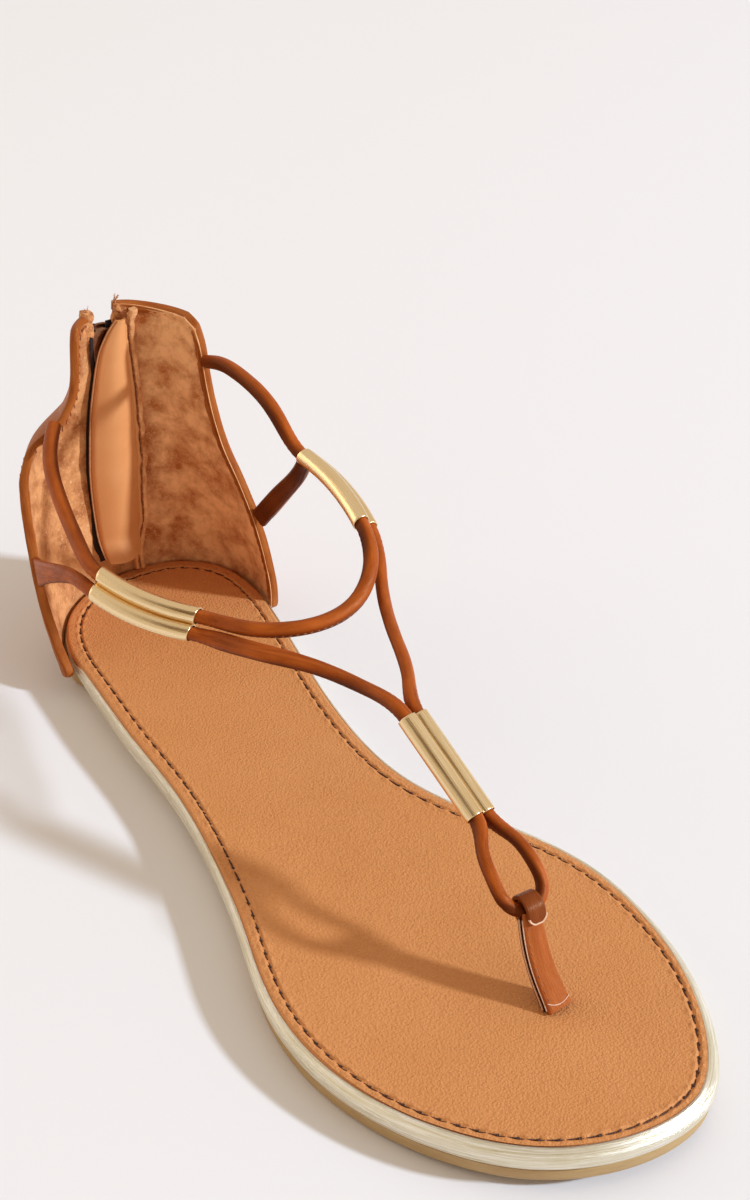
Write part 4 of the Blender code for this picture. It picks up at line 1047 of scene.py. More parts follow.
# %% Edge paths
def edge_path(side, count=150):
    """Middle of the wall's edge, the wall's outward direction and the way into the wall, from zip to sole."""
    heights = np.linspace(CUP_TOP, CUP_BOTTOM + 0.2, 400)
    along_top = np.linspace(slot_angle(CUP_TOP, side)[0], front_angle(CUP_TOP, side), 120)[:-1]
    z = np.concatenate([np.full(len(along_top), CUP_TOP), heights])
    angle = np.concatenate([along_top, front_angle(heights, side)])
    middle = cup_point(z, angle, side, WALL / 2)
    out = unit(cup_point(z, angle, side, WALL) - cup_point(z, angle, side, 0.0))
    length = lengths(middle)
    where = np.linspace(0.0, length[-1], count * 4)
    window = 13              # points over which the corner is rounded
    weights = np.hanning(window + 2)[1:-1]
    weights /= weights.sum()

    def evened(values):
        """Taken at even steps and softened at the collar's corner."""
        values = np.column_stack([np.interp(where, length, column) for column in values.T])
        padded = np.vstack([2 * values[:1] - values[window // 2:0:-1], values,
                            2 * values[-1:] - values[-2:-window // 2 - 1:-1]])
        return np.column_stack([np.convolve(column, weights, mode="valid") for column in padded.T])
    middle, out = evened(middle)[::4], unit(evened(out))[::4]
    ahead = heading(middle)
    inward = unit(np.cross(out, ahead))
    wall_middle = cup_point(40.0, 0.6, side, WALL / 2)
    if np.mean(np.sum((wall_middle - middle) * inward, axis=1)) < 0:
        inward = -inward
    return middle, out, inward


# %% Rounded sections
def round_section(width, thick, radius, corner_steps=5):
    """Outline of a bar with rounded corners, starting at its right side."""
    radius = min(radius, width / 2 - 0.01, thick / 2 - 0.01)
    outline_points = []
    for turn, (cx, cy) in enumerate(((1, 1), (-1, 1), (-1, -1), (1, -1))):
        for step in range(corner_steps):
            angle = math.pi / 2 * (turn + step / (corner_steps - 1))
            outline_points.append((cx * (width / 2 - radius) + radius * math.cos(angle),
                                   cy * (thick / 2 - radius) + radius * math.sin(angle)))
    return np.array(outline_points)


# %% Binding and its stitches
BINDING_WIDTH = 2.7          # of the arm on the outer face


def binding_outline(inner_arm, tip, lift):
    """U-shaped section: into the wall, out from its middle; the tip stands past the edge, lift over each face."""
    corners = []
    for degrees in np.linspace(-90.0, 90.0, 13):
        angle = math.radians(degrees)
        corners.append((-tip * math.cos(angle) + 0.45, (WALL / 2 + lift) * math.sin(angle)))
    corners += [(BINDING_WIDTH * 0.6, WALL / 2 + lift), (BINDING_WIDTH * 0.9, WALL / 2 + lift - 0.08),
                (BINDING_WIDTH, WALL / 2 + 0.05), (BINDING_WIDTH, WALL / 2 - 0.3),
                (inner_arm, WALL / 2 - 0.6), (inner_arm, -WALL / 2 - 0.02),
                (inner_arm * 0.85, -WALL / 2 - lift * 0.7), (inner_arm * 0.55, -WALL / 2 - lift)]
    return np.array(corners)


seams = []
for side, name, shape in ((-1, "binding_outer_side", binding_outline(1.25, 0.75, 0.34)),
                          (1, "binding_inner_side", binding_outline(0.8, 0.6, 0.28))):
    middle, out, inward = edge_path(side)
    section = shape[None] * (1.0 + 0.06 * waviness(middle, 5.0, 2.0 + side)[:, None, None])
    points = middle[:, None] + inward[:, None] * section[..., :1] + out[:, None] * section[..., 1:]
    closed_bar(name, "quarter_leather", points, lengths(middle), 0.7 * np.arange(len(shape) + 1), binding_leather)
    for face, across, height in ((-1.0, SEAM_FROM_EDGE, WALL / 2 - 0.28),
                                 (1.0, BINDING_WIDTH - 0.75, WALL / 2 + 0.08)):
        line = middle + inward * across + out * face * height
        seams.append((line[4:-12], out[4:-12] * face))      # from beside the zip to just above the sole
    if side > 0:             # on this side the lining is pulled into a rough ridge between the roll and the stitches
        rough = waviness(middle, 2.2, 41.0)
        rougher = waviness(middle, 1.3, 43.0)
        ridge_line = middle + inward * (1.5 + 0.15 * rough)[:, None] - out * (WALL / 2 + 0.05)
        ridge = [round_section(1.3 + 0.6 * a, 0.7 + 0.6 * b, 0.25) for a, b in zip(rough, rougher)]
        bar_piece("lining_edge_ridge", "quarter_leather", ridge_line[2:-8], ridge[2:-8], -out[2:-8],
                  binding_leather)
stitch_row("binding_stitches", "quarter_leather", seams, 2.3, 1.9, 0.5, tan_thread, arch=0.22, yaw=6.0, seed=4)

# %% Topstitching beside the zip
ZIP_SEAM = SLOT_WIDTH / 2 + 2.2      # from the slot's middle line
seam_z = np.linspace(SLOT_BOTTOM - 2.2, CUP_TOP - 11.0, 90)
up_sides = [cup_point(seam_z, slot_angle(seam_z, side, ZIP_SEAM), side, WALL + 0.05) for side in (-1, 1)]
below_zip = np.linspace(up_sides[0][0], up_sides[1][0], 90)
stitch_row("zip_topstitching", "quarter_leather", [(line, BACKWARD) for line in (*up_sides, below_zip)], 2.6, 2.0,
           0.45, tan_thread, arch=0.2, yaw=4.0, seed=6)

# %% [markdown]
# ## Cords
# Both straps are a strip of leather wrapped round a core and glued, which leaves a fine seam along one side. A
# curve with a round bevel would give an even tube; these flatten towards their sewn ends, narrow into the tubes
# and wrinkle beside them. So each cord is a bar along the smooth line through its rows, with its own section at
# every point, and UVs along its length for the grain.

# %% Lines through the tubes
def away_from_foot(points):
    """Directions from the line inside the foot to each point."""
    out = np.array(points, float) - (0.0, *FOOT_AXIS)
    out[..., 0] = 0.0
    return unit(out)


def barrel_line(tube, side, count, extend=0.0):
    """Centre line of one barrel of a tube, in millimetres."""
    _, start, end, bow, turn, lean = tube
    a, b = np.array(start), np.array(end)
    along = unit(b - a)
    across = unit(np.cross(along, away_from_foot((a + b) / 2)))
    out = np.cross(across, along)
    turn, lean = math.radians(turn), math.radians(lean)
    across, out = across * math.cos(turn) + out * math.sin(turn), out * math.cos(turn) - across * math.sin(turn)
    bulge_way = out * math.cos(lean) + across * math.sin(lean)
    reach = extend / np.linalg.norm(b - a)
    shares = np.linspace(-reach, 1.0 + reach, count)
    bulge = bow * (1.0 - (2.0 * shares - 1.0) ** 2)
    return a + (b - a) * shares[:, None] + bulge_way * bulge[:, None] + across * (BARREL_PITCH * side)


def through(tube, side, extend, back=False):
    """Rows of a cord inside a barrel, from end to end or back."""
    line = barrel_line(tube, side, 7, extend)
    return [(*point, CORD_IN_TUBE, CORD_IN_TUBE) for point in (line[::-1] if back else line)]


front, lateral, medial = TUBES
INSTEP_ROWS = [              # x, y, z, width, thickness, from the collar's inner side to its outer side
    (18.7, 21.5, 81.4, 3.9, 3.6), (26.0, 22.4, 83.7, 3.9, 3.9), (35.3, 23.8, 83.6, 3.9, 3.9),
    (50.6, 25.0, 79.8, 3.9, 3.9), *through(medial, RIGHT, 1.0),
    (99.6, 24.4, 63.5, 3.9, 3.9), (106.9, 16.2, 58.0, 3.9, 3.9), (108.6, 4.0, 56.0, 3.9, 3.9),
    (101.2, -10.0, 55.0, 3.9, 3.9), *through(lateral, LEFT, 1.0, back=True),
    (51.0, -32.8, 58.9, 3.9, 3.9), (35.8, -30.6, 62.8, 3.9, 3.9), (20.0, -26.1, 68.2, 3.9, 3.8),
    (12.4, -21.3, 71.0, 3.8, 3.6),
]
STRAP_ROWS = [               # the same, from the outer wing round the toe post's loop to the inner side
    (19.2, -32.3, 31.8, 8.4, 1.8), (31.8, -35.9, 40.0, 6.4, 2.3), (45.6, -36.6, 48.0, 4.8, 2.9),
    (56.4, -36.3, 52.6, 3.7, 3.4), *through(lateral, RIGHT, 1.0),
    (97.3, -16.0, 50.9, 4.6, 2.8), (108.0, -11.4, 52.8, 4.6, 2.8), (120.5, -2.8, 52.9, 3.9, 3.0),
    (133.5, 2.6, 53.2, 3.4, 3.2), *through(front, RIGHT, 0.8),
    (180.1, 4.8, 37.2, 3.1, 3.1), (187.2, 3.1, 34.6, 3.1, 3.1), (191.5, 3.8, 31.1, 3.1, 3.1),
    (193.1, 6.3, 29.4, 3.1, 3.1), (193.3, 8.5, 29.3, 3.1, 3.1), (193.1, 10.7, 29.4, 3.1, 3.1),
    (191.5, 13.3, 31.1, 3.1, 3.1), (187.4, 14.0, 34.8, 3.1, 3.1), (180.4, 13.6, 37.2, 3.1, 3.1),
    *through(front, LEFT, 0.8, back=True),
    (134.7, 13.3, 53.9, 3.2, 3.1), (123.1, 17.3, 55.4, 3.2, 3.1), (102.9, 25.4, 58.2, 3.3, 3.2),
    (96.7, 28.4, 61.0, 3.3, 3.2), *through(medial, LEFT, 1.0, back=True),
    (56.2, 29.2, 64.6, 4.2, 3.0), (48.2, 28.8, 54.4, 5.0, 2.6), (40.6, 28.8, 45.8, 5.4, 2.3),
    (33.0, 28.8, 37.0, 5.6, 2.2),
]


# %% Cord sections and sweep
CORD_SIDES = 28
SEAM_TURN = -62.0            # degrees; where the wrap's seam lies, below the cord's outer face
mouths = np.array([tube[end] for tube in TUBES for end in (1, 2)])


def cord_piece(name, rows, count, stands_for):
    """A wrapped cord with a seam, a little unevenness, and wrinkles beside each tube's mouth."""
    table = np.array(rows)
    path = spline(table[:, :3], count)
    chord = lengths(table[:, :3])
    where = np.linspace(0.0, chord[-1], count)
    width, thick = between(chord, table[:, 3], where), between(chord, table[:, 4], where)
    angles = 2 * np.pi * (np.arange(CORD_SIDES) + 0.5) / CORD_SIDES
    off_seam = np.angle(np.exp(1j * (angles - np.radians(SEAM_TURN))))
    # the seam is a narrow groove with the wrap's upper edge standing beside it
    notch = -0.16 * np.exp(-(off_seam / 0.13) ** 2) + 0.07 * np.exp(-((off_seam - 0.34) / 0.2) ** 2)
    to_mouth = np.min(np.linalg.norm(path[:, None] - mouths[None], axis=2), axis=1)
    wrinkle = 0.05 * np.exp(-((to_mouth - 4.0) / 4.5) ** 2) * np.sin(2 * np.pi * where / 1.7)
    lumps = 0.05 * waviness(path, 7.0, 1.0)
    bore_limit = BARREL_BORE / 2 - 0.06
    sections = []
    for i in range(count):
        radius = thick[i] / 2 + notch + wrinkle[i] + lumps[i]
        straight = max(width[i] - thick[i], 0.0) / 2
        across = radius * np.cos(angles) + np.copysign(straight, np.cos(angles))
        up = radius * np.sin(angles)
        if thick[i] < CORD_IN_TUBE + 0.02 and straight == 0.0:       # inside a tube it keeps to the bore
            reach = np.hypot(across, up)
            across, up = across * np.minimum(1, bore_limit / reach), up * np.minimum(1, bore_limit / reach)
        sections.append(np.column_stack([across, up]))
    piece = bar_piece(name, "cord_leather", path, sections, away_from_foot(path), cord_leather,
                      stands_for=stands_for)
    # the cord's side towards the foot is painted darker: painted shade, with random darker tone along its length
    sides = 1.0 - smooth_step(-0.35, 0.75, np.sin(angles - 0.25))
    paint(piece, 0.85 * sides[None] + 0.28 * waviness(path, 9.0, 51.0)[:, None] + 0.05)
    print(f"{name}: {chord[-1]:.0f} mm long")
    return path, width


instep_path, _ = cord_piece("instep_cord_wrapped", INSTEP_ROWS, 420, "instep_cord")
strap_path, strap_width = cord_piece("t_strap_wrapped", STRAP_ROWS, 640, "t_strap")


# %% Cord seam stitches at the instep bend
def beside(path, degrees, reach):
    """Points on a cord's surface at an angle round it, and their outward directions."""
    ahead = heading(path)
    across = unit(np.cross(ahead, away_from_foot(path)))
    up = np.cross(across, ahead)
    way = across * math.cos(math.radians(degrees)) + up * math.sin(math.radians(degrees))
    return path + way * reach, way


bend = (instep_path[:, 0] > 99.0) & (instep_path[:, 1] < 20.0) & (instep_path[:, 1] > -13.0)
seam_points, seam_ways = beside(instep_path[bend], 197.0, 1.86)
pale_thread = thread_material("waxed_thread_pale", "dca273", "a4683a")
stitch_row("instep_cord_stitches", "cord_leather", [(seam_points, seam_ways)], 1.7, 1.0, 0.3, pale_thread,
           arch=0.1, yaw=8.0, seed=17)

# %% [markdown]
# ## Gold tubes
# Each ornament is two thin-walled brass tubes side by side, plated pale gold and gently bent. Each barrel is a
# ring section swept along the same centre line as the cord inside it, with its rims rounded, so the wall's
# thickness, the dark bore and the bright edge all come from geometry.

# %% Finish: gold-plated drawn brass
# A bright polished metal with fine draw lines along its length; the valley looks a warmer darker gold only from its
# shade.
gold_tube, tree, shader = new_material("pale_gold_plated_brass", 0.2, 1.0)
lines = add_node(tree, "ShaderNodeTexNoise", Vector=along_piece(tree, (0.06, 2.0, 1.0)), Scale=1.0, Detail=4.0,
                 Roughness=0.6).outputs["Fac"]
surface(tree, shader, blend_colours(tree, lines, "efc480", "fff0cc"), lines, 0.4, 0.0002, (lines, 0.16, 0.32))

# %% Barrels
BARREL_SIDES = 48
RIM = 0.1                    # how far each rim is rounded
big, small = BARREL_OUTER / 2, BARREL_BORE / 2
angles = 2 * np.pi * np.arange(BARREL_SIDES)[:, None] / BARREL_SIDES
for tube in TUBES:
    for side, word in ((RIGHT, "right"), (LEFT, "left")):
        line = barrel_line(tube, side, 41)
        ahead = heading(line)
        stations = [(line[0], big - RIM), (line[0] + ahead[0] * RIM * 0.3, big - RIM * 0.3),
                    (line[0] + ahead[0] * RIM, big), *[(p, big) for p in line[1:-1]],
                    (line[-1] - ahead[-1] * RIM, big), (line[-1] - ahead[-1] * RIM * 0.3, big - RIM * 0.3),
                    (line[-1], big - RIM), (line[-1], small), *[(p, small) for p in line[-2:0:-1]],
                    (line[0], small)]
        direction = unit(line[-1] - line[0])
        across = unit(np.cross(direction, away_from_foot((line[0] + line[-1]) / 2)))
        circle = across * np.cos(angles) + np.cross(across, direction) * np.sin(angles)
        points = np.array([point + circle * radius for point, radius in stations])
        total = len(stations) * BARREL_SIDES
        faces = [tuple(i % total for i in face) for face in grid_faces(len(stations) + 1, BARREL_SIDES, ring=True)]
        run = lengths(points[:, 0])
        uv = grid_uv(np.append(run, run[-1] + 0.2), 2 * np.pi * big / BARREL_SIDES * np.arange(BARREL_SIDES + 1))
        new_piece(f"{tube[0]}_{word}_barrel", "gold_tube", points.reshape(-1, 3), faces, gold_tube, uv, sharp=50.0,
                  stands_for=tube[0] if side == RIGHT else None)

# %% [markdown]
# ## Toe post
# The toe post is a strip of the cord leather folded lengthwise, so its two raw edges meet in a line on its outer
# front corner, and its top end is wrapped round the strap's loop and tucked in. A plain bar would hide that, so
# the post's section has a slit with a pale raw edge on each side, and the wrap is a separate strip bent round.

# %% Finish: raw split edge of the leather
# Undyed fibre where a blade cut the hide, seen as a thin pale line beside the dyed face.
raw_edge = fuzzy_finish("cut_leather_edge", 0.85, 0.5, "c98d66", "f0cdb0", 0.5, 0.0002)

# %% Folded post
POST_WIDE = 5.9
POST_SLIT = 0.9              # depth of the slit between the folded strip's edges
POST_BOW = (0.5, 1.0)        # how far its middle bows towards the heel and the outer side


def post_size(share):
    """The post's width, flared at its foot, and its thickness, at a share of its height."""
    return POST_WIDE - 1.0 * share ** 2 + 0.7 * math.exp(-share / 0.08), POST_THICK - 0.9 * share


post_foot = np.array((*POST_ROOT, float(footbed_top(np.array(POST_ROOT[0]))) - 0.3))
post_roll = np.array(POST_ROLL)
shares = np.linspace(0.0, 0.97, 40)
post_path = post_foot + (post_roll - post_foot) * shares[:, None]
post_path[:, :2] -= np.outer(np.sin(np.pi * shares), POST_BOW)
post_lean = unit(post_roll - post_foot)
post_face = np.cross((0.0, 1.0, 0.0), post_lean)
post_across = unit(np.cross(post_lean, post_face))
post_out = np.cross(post_across, post_lean)
sections = []
for share in shares:
    width, thick = post_size(share)
    whole = round_section(width, thick, 0.75)
    slit = np.array([(-width / 2 - 0.02, thick * 0.24), (-width / 2 + POST_SLIT, thick * 0.18),
                     (-width / 2 + POST_SLIT, thick * 0.02), (-width / 2 - 0.02, -thick * 0.04)])
    sections.append(np.vstack([whole[:10], slit, whole[10:]]))
post = bar_piece("toe_post_folded", "cord_leather", post_path, sections, post_face, post_leather,
                 stands_for="toe_post")
# the post's back half is painted darker and the inside of its slit darkest: painted shade
paint(post, np.tile([0.05] * 9 + [0.6, 1.0, 1.0, 1.0, 1.0] + [0.75] * 10, (len(shares), 1)))
for name, height, edge_size in (("post_raw_edge_front", 0.31, 0.26), ("post_raw_edge_back", -0.11, 0.46)):
    centres = []
    for point, share in zip(post_path[1:-2], shares[1:-2]):
        width, thick = post_size(share)
        centres.append(point + post_across * (-width / 2 - 0.02) + post_out * thick * height)
    bar_piece(name, "cord_leather", np.array(centres), round_section(0.44, edge_size, 0.1, 3), post_face, raw_edge)

# %% The post's stitches and the lip at its foot
front_reach = 0.5 * (POST_THICK - 0.9 * shares[:, None])
half_width = 0.5 * (POST_WIDE - 1.0 * shares[:, None] ** 2)
post_seam = post_path + post_out * (front_reach - 0.02) - post_across * (half_width - 0.75)
stitch_row("toe_post_stitches", "cord_leather", [(post_seam[2:-6], post_out)], 1.7, 1.1, 0.28, tan_thread,
           arch=0.14, yaw=8.0, seed=19)
foot_line = np.array([post_path[2] + post_out * (front_reach[2] + 0.02) + post_across * a * 2.9
                      + post_lean * 1.1 * a * a for a in np.linspace(-1.0, 1.0, 15)])
bar_piece("post_foot_raw_edge", "cord_leather", foot_line, round_section(0.24, 0.24, 0.08, 3), post_out, raw_edge)

# %% Raw edge of the strap's flattened inner arm
arm = slice(572, 634, 2)
arm_points, _ = beside(strap_path[arm], 24.0, (strap_width[arm] / 2 - 0.1)[:, None])
arm_taper = np.sin(np.linspace(0.12, math.pi - 0.12, len(arm_points))) ** 0.4
arm_sections = [round_section(0.9 * t, 0.7 * t, 0.25 * t, 3) for t in arm_taper]
bar_piece("t_strap_raw_edge", "cord_leather", arm_points, arm_sections, away_from_foot(strap_path[arm]), raw_edge)

# %% Wrap round the loop
WRAP_RADIUS = LOOP_BORE + LOOP_WALL / 2
TONGUE = 2.3                 # length of the wrap's rounded end, on the post's face
TONGUE_SQUARE = 0.93         # 1 would bring its end to a point
turns = np.radians(np.linspace(-62.0, 196.0, 60))
circle = [post_roll + WRAP_RADIUS * (post_lean * math.sin(t) - post_out * math.cos(t)) for t in turns]
tail_start = circle[-1]
tail_ahead = unit(circle[-1] - circle[-2])
tail = [tail_start + tail_ahead * d for d in np.linspace(0.3, TONGUE, 9)]
wrap_path = np.array(circle + tail)
narrowing = np.concatenate([np.ones(60), np.sqrt(1.0 - (TONGUE_SQUARE * np.linspace(0.0, 1.0, 9)) ** 2)])
wrap_sections = [round_section(LOOP_WIDTH * share, LOOP_WALL - 0.12, 0.45) for share in narrowing]
wrap_facing = unit(np.array(circle + [tail_start] * len(tail)) - post_roll)
wrap = bar_piece("toe_post_wrap", "cord_leather", wrap_path, wrap_sections, wrap_facing, post_leather)
paint(wrap, np.tile(np.where(np.abs(wrap_sections[0][:, 0]) > 1.9, 0.6, 0.05), (len(wrap_path), 1)))
lip_path = np.array([tail_start + post_across * a * LOOP_WIDTH / 2 + post_out * 0.35
                     + tail_ahead * (0.2 + TONGUE * min(math.sqrt(1.0 - a * a) / TONGUE_SQUARE, 1.0))
                     for a in np.linspace(-0.97, 0.97, 25)])
bar_piece("wrap_raw_end", "cord_leather", lip_path, round_section(0.45, 0.6, 0.15, 3), post_out, raw_edge)

# %% [markdown]
# ## Zip guard and its seam
# Behind the zip hangs a thin flap of light split leather that keeps the teeth off the heel. One long edge is
# caught under a folded strip of lining; the other is free, and stands a few millimetres off the wall in a gentle
# wave. The flap is a grid between its two edges with a thickness; the strip is a bar whose width wanders.

# %% Finish: light split leather
# Undyed and only pressed smooth: a pale even tan with a faint woven press mark.
split_leather, tree, shader = new_material("pressed_split_leather", 0.62)
mm = in_millimetres(tree)
mottle = add_node(tree, "ShaderNodeTexNoise", Vector=mm, Scale=1 / 12.0, Detail=3.0).outputs["Fac"]
press = add_node(tree, "ShaderNodeTexNoise", Vector=mm, Scale=1 / 0.5, Detail=2.0).outputs["Fac"]
surface(tree, shader, blend_colours(tree, mottle, "d0874a", "e19c60"), press, 0.18, 0.00015)
cut_split = fuzzy_finish("cut_split_leather", 0.85, 0.6, "8a4a20", "d59a66")

# %% Guard flap
GUARD_THICK = 0.9
HEM_HEIGHT, HEM_KICK = 7.5, 3.0          # how high the bottom hem is, and how far it stands forward
SEAM_SHIFT = 0.7             # the seam's middle lies a little beyond the flap's sewn edge


def wall_x(y, z):
    """x of the cup's inner face beside the zip, at a height and a distance from the middle."""
    side = -1 if y < 0 else 1
    half = float(cup(OUTER_HALF if side < 0 else INNER_HALF, z))
    angle = math.asin(min((abs(y) / half) ** (1 / CUP_SQUARENESS), 1.0))
    return float(cup_point(z, angle, side, 0.0)[0])


def hem(z):
    """The flap's bottom bends forward, away from the wall."""
    return HEM_KICK * max((GUARD[0][0] + HEM_HEIGHT - z) / HEM_HEIGHT, 0.0) ** 1.6


guard_rows = []
for z in np.linspace(GUARD[0][0], GUARD[-1][0], 100):
    free_y, sewn_y, free_gap, bulge = (float(from_table(GUARD, column, z)) for column in (1, 2, 3, 4))
    sewn_y += SEAM_SHIFT
    row = []
    for share in np.linspace(0.0, 1.0, 30):
        y = free_y + (sewn_y - free_y) * share
        stand = GAP + 0.35 + free_gap * (1.0 - share) + bulge * math.sin(math.pi * share) + hem(z)
        wave = (1.0 - share) ** 2 * 0.25 * math.sin(z / 6.5) - 0.35 * math.exp(-(share / 0.05) ** 2)
        row.append((wall_x(y, z) + stand + wave, y, z))
    guard_rows.append(row)
guard_back = np.array(guard_rows)
guard_front = guard_back + (GUARD_THICK, 0.0, 0.0)
guard_front[:, 0] -= (GUARD_THICK * 0.35, 0.0, 0.0)
guard_front[:, 1:3] += (0.06, 0.0, 0.0)
points, faces = thicken(guard_front.reshape(-1, 3), guard_back.reshape(-1, 3), grid_faces(100, 30))
new_piece("zip_guard_flap", "guard_leather", points, faces, split_leather, stands_for="zip_guard")
free_edge = guard_back[:, 0] + (GUARD_THICK * 0.6 + 0.1, -0.36, 0.0)
bar_piece("guard_free_edge", "guard_leather", free_edge, round_section(0.42, 0.5, 0.15, 3), FORWARD, cut_split)

# %% Folded seam strip
for name, top, offset, width, height, finish in (("guard_seam_fold", 89.5, -0.75, 1.15, 1.9, split_leather),
                                                 ("guard_seam_strip", CUP_TOP + 0.4, 0.75, 1.35, 2.0, suede)):
    strip_z = np.linspace(10.6, top, 170)
    strip_seed = np.column_stack([strip_z * 0, strip_z * 0, strip_z])
    strip_path, strip_sections = [], []
    for z, drift, ripple in zip(strip_z, waviness(strip_seed, 11.0, 21.0), waviness(strip_seed, 3.4, 23.0)):
        loose_top = float(smooth_step(84.0, 93.0, z))
        y = (float(from_table(GUARD, SEWN_EDGE, z)) + SEAM_SHIFT + offset * (1.0 + 0.5 * loose_top) + 0.55 * drift
             + (0.18 + loose_top * 0.4) * ripple)
        strip_path.append((wall_x(y, z) + GAP + height / 2 + 0.45 + 0.3 * ripple + 0.15 * hem(z), y, z))
        strip_sections.append(round_section(width * (1.0 + 0.35 * loose_top) + 0.45 * ripple, height + 0.25 * drift,
                                            0.5))
    strip_path = np.array(strip_path)
    strip = bar_piece(name, "quarter_leather", strip_path, strip_sections, FORWARD, finish)
    # the suede seam strip is painted paler all over: painted light on the raised strip
    paint(strip, np.full(len(strip.data.vertices), 0.6))
strip_seam = strip_path[6:-6] + (0.7, -0.75, 0.0)
stitch_row("seam_strip_stitches", "quarter_leather", [(strip_seam, FORWARD)], 2.6, 1.9, 0.34, tan_thread,
           arch=0.2, seed=9)

# %% [markdown]
# ## Zip
# A coil zip is a twisted nylon filament sewn along the edges of two woven tapes. The tapes are thin bars beside
# the slot's middle line. The coil's turns repeat every 1.1 mm, so the stitch tree makes them too, turned across
# the zip. The slider is two plates joined by a neck, with a bail that holds the pull on its pin.

# %% Finishes: woven polyester tape, nylon coil, antiqued zinc slider
# The tape shows a fine herringbone, the coil a dull plastic shine, the slider a dark brass with worn high spots.
zip_cloth, tree, shader = new_material("woven_polyester_tape", 0.85)
weave = add_node(tree, "ShaderNodeTexChecker", Vector=in_millimetres(tree, math.radians(45)), Scale=1 / 0.45)
weave = weave.outputs["Fac"]
surface(tree, shader, blend_colours(tree, weave, "190c09", "2b1710"), weave, 0.4, 0.0001)
coil_nylon = thread_material("nylon_coil_brown", "3c2118", "1d0d09")
slider_metal = fuzzy_finish("antiqued_zinc_slider", 0.3, 1.4, "57301f", "b98462", 0.2, 0.0001, metallic=1.0)

# %% Tapes and coil
TAPE_WIDTH = 3.3
tape_z = np.linspace(SLOT_BOTTOM + 0.4, CUP_TOP - 3.6, 60)
for side, name in ((-1, "zip_tape_outer_side"), (1, "zip_tape_inner_side")):
    spread_y = side * (TAPE_WIDTH / 2 + 0.55 + 1.0 * smooth_step(80.0, 86.0, tape_z))
    tape_path = np.column_stack([cup(BACK, tape_z) - WALL / 2, spread_y, tape_z])
    bar_piece(name, "zip_fabric", tape_path, round_section(TAPE_WIDTH, 0.5, 0.2, 3), BACKWARD, zip_cloth,
              stands_for="zip_tape" if side < 0 else None)
tape_and_shade_z = np.linspace(SLOT_BOTTOM, CUP_TOP - 5.0, 90)    # a dark tape-cloth sheet on the lining out to the flap's free edge: partly the tape's edge, partly painted shade in the gap
tape_and_shade_start = -SLOT_WIDTH / 2 + 0.8
flap_edge = from_table(GUARD, FREE_EDGE, np.maximum(tape_and_shade_z, GUARD[0][0]))
tape_and_shade_end = np.minimum(flap_edge - 0.6 - 1.4 * smooth_step(34.0, 20.0, tape_and_shade_z), -SLOT_WIDTH / 2 - 0.3)
tape_and_shade_path = np.array([(wall_x((y + tape_and_shade_start) / 2, z) + 0.55, (y + tape_and_shade_start) / 2, z)
                        for y, z in zip(tape_and_shade_end, tape_and_shade_z)])
bar_piece("zip_tape_and_painted_gap_shade", "zip_fabric", tape_and_shade_path,
          [round_section(tape_and_shade_start - y, 0.4, 0.15, 3) for y in tape_and_shade_end], (1.0, 0.12, 0.0), zip_cloth)
coil_z = np.linspace(SLOT_BOTTOM + 1.0, ZIP_TOP - 1.5, 60)
coil_line = np.column_stack([cup(BACK, coil_z) - WALL / 2 - 0.45, coil_z * 0.0, coil_z])
stitch_row("zip_coil", "zip_fabric", [(coil_line, BACKWARD)], 0.62, 3.4, 0.62, coil_nylon, arch=0.3, yaw=82.0,
           seed=2)

# %% A flat plate
PLATE_BEVEL = 0.18


def plate(name, loops, low, high, **role):
    """A plate standing across x between two distances: a flat curve through its (y, z) loops, made a mesh."""
    flat = bpy.data.curves.new(name, "CURVE")
    flat.dimensions = "2D"
    flat.fill_mode = "BOTH"
    flat.extrude = ((high - low) / 2 - PLATE_BEVEL) * MM
    flat.bevel_depth = PLATE_BEVEL * MM
    flat.bevel_resolution = 3
    flat.offset = -PLATE_BEVEL * MM
    for loop in loops:
        line = flat.splines.new("POLY")
        line.points.add(len(loop) - 1)
        for target, (y, z) in zip(line.points, loop):
            target.co = (y * MM, z * MM, 0.0, 1.0)
        line.use_cyclic_u = True
    mesh = as_mesh(add_object(name + "_flat", flat))
    middle_x = ((low + high) / 2 - REST_X) * MM
    for vert in mesh.vertices:
        y, z, x = vert.co
        vert.co = (middle_x + x, y, z)
    piece_from(mesh, name, "slider_metal", slider_metal, sharp=35.0, weld=2e-6, **role)


def mirrored_loop(half):
    """A closed smooth line through the points (y, z) and their mirror images across the middle."""
    points = half + [(-y, z) for y, z in reversed(half)]
    return spline(points, 4 * len(points), closed=True)


# %% Slider plates, neck and bail
slider_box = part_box("zip_slider")
slider_low, slider_high = slider_box[0] / MM, slider_box[1] / MM
PIN_RADIUS = 0.6
BAIL_REACH = 2.1
BAIL_MIDDLE = 1.6
PLATE_THICK = 1.1
pin_x = slider_low.x + REST_X + BAIL_REACH
plate_face = pin_x + 0.95
plate_back = slider_high.x + REST_X - PLATE_THICK
body_loop = mirrored_loop([(2.5, SLIDER_Z - 5.0), (2.9, SLIDER_Z - 3.8), (3.2, SLIDER_Z), (3.5, SLIDER_Z + 3.2),
                           (2.9, SLIDER_Z + 4.6), (1.2, SLIDER_Z + 5.0)])
neck_loop = [(-1.3, ZIP_TOP + 0.5), (1.3, ZIP_TOP + 0.5), (1.2, SLIDER_Z + 4.4), (-1.2, SLIDER_Z + 4.4)]
plate("slider_front_plate", [body_loop], plate_face, plate_face + PLATE_THICK, stands_for="zip_slider")
plate("slider_back_plate", [body_loop], plate_back, plate_back + PLATE_THICK)
plate("slider_neck", [neck_loop], plate_face + 0.5, plate_back + 0.5)
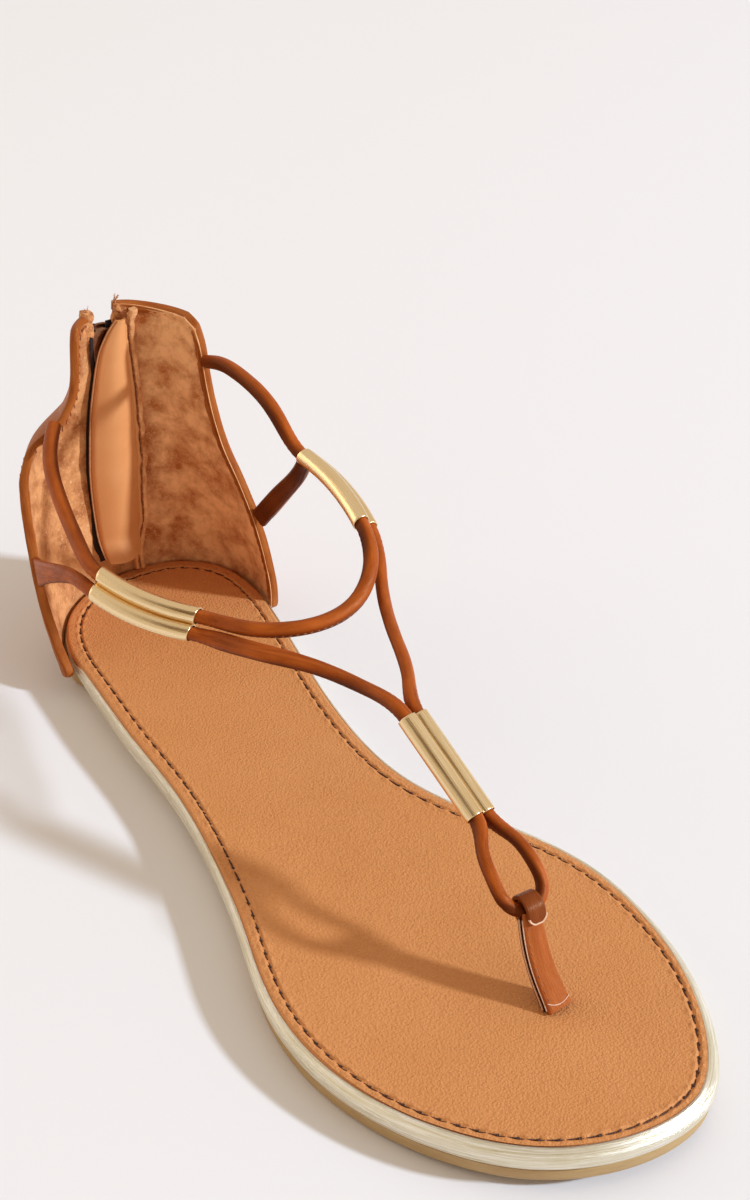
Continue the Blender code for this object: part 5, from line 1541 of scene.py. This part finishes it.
bail_path = np.array([(pin_x - BAIL_MIDDLE * math.cos(t), 0.0, SLIDER_Z + BAIL_MIDDLE * math.sin(t))
                      for t in np.radians(np.linspace(-118.0, 118.0, 40))])
bar_piece("slider_bail", "slider_metal", bail_path, round_section(1.8, 0.85, 0.3),
          unit(bail_path - (pin_x, 0.0, SLIDER_Z)), slider_metal)

# %% Pull tab
pull_loop = mirrored_loop([(y, SLIDER_Z + z) for y, z in (
    (2.4, 1.2), (2.4, -2.6), (2.05, -4.6), (2.3, -9.0), (2.7, -12.4), (1.9, -14.4))])
eye_loop = [(1.35, SLIDER_Z + 0.1), (1.35, SLIDER_Z - 2.5), (-1.35, SLIDER_Z - 2.5), (-1.35, SLIDER_Z + 0.1)]
plate("zip_pull_tab", [pull_loop, eye_loop], pin_x - 0.5, pin_x + 0.5, stands_for="zip_pull", body="zip_pull")
bar_piece("zip_pull_pin", "slider_metal", np.array([(pin_x, y, SLIDER_Z) for y in np.linspace(-1.5, 1.5, 7)]),
          round_section(2 * PIN_RADIUS, 2 * PIN_RADIUS, PIN_RADIUS), FORWARD, slider_metal, body="zip_pull")

# %% [markdown]
# ## Raw ends beside the zip
# At the collar the lining is turned in on both sides of the zip and cut by hand, so two small crumpled folds and
# a few loose fibres stand there. The folds are short bars with noise in their width; the fibres are the stitch
# tree once more, with long thin threads thrown at random angles from a fixed seed.

# %% Turned ends and loose fibres
up_share = np.linspace(0.0, 1.0, 30)
for side, name, reach, lean in ((-1, "turned_end_outer_side", 10.5, 0.0), (1, "turned_end_inner_side", 7.5, 3.2)):
    fold_z = np.linspace(CUP_TOP - reach, CUP_TOP + 0.9, 30)
    base_line = cup_point(np.minimum(fold_z, CUP_TOP), slot_angle(CUP_TOP - 2.0, side)[0] * 1.12, side, WALL * 0.45)
    base_line[:, 2] = fold_z
    base_line[:, 1] += lean * (up_share - 0.35)
    fold_seed = np.column_stack([fold_z * 0, fold_z * 0 + side, fold_z])
    bumps, small_bumps = waviness(fold_seed, 2.3, 31.0), waviness(fold_seed, 1.4, 37.0)
    base_line[:, 0] += 0.35 * bumps
    base_line[:, 1] += 0.4 * small_bumps
    taper = 0.35 + 0.65 * smooth_step(0.0, 0.55, up_share)
    sections = [round_section((3.2 + 1.5 * b) * t, (3.0 + 1.0 * c) * t, 0.7 * t)
                for b, c, t in zip(bumps, small_bumps, taper)]
    bar_piece(name, "quarter_leather", base_line, sections, FORWARD, raw_fold)
fibre_lines = []
for i in range(9):
    side = 1 if i % 3 else -1
    spot = cup_point(CUP_TOP, slot_angle(CUP_TOP, side)[0] * (1.0 + 0.25 * (i % 5) / 4), side, WALL / 2)
    fibre_lines.append((spot + [(0.25 * (i % 4), 0.0, 0.2), (0.25 * (i % 4), 0.2, 0.7)],
                        (math.cos(2.4 * i), math.sin(2.4 * i), 0.2)))
stitch_row("frayed_fibres", "quarter_leather", fibre_lines, 0.5, 3.4, 0.14, pale_thread, arch=0.5, seed=13)
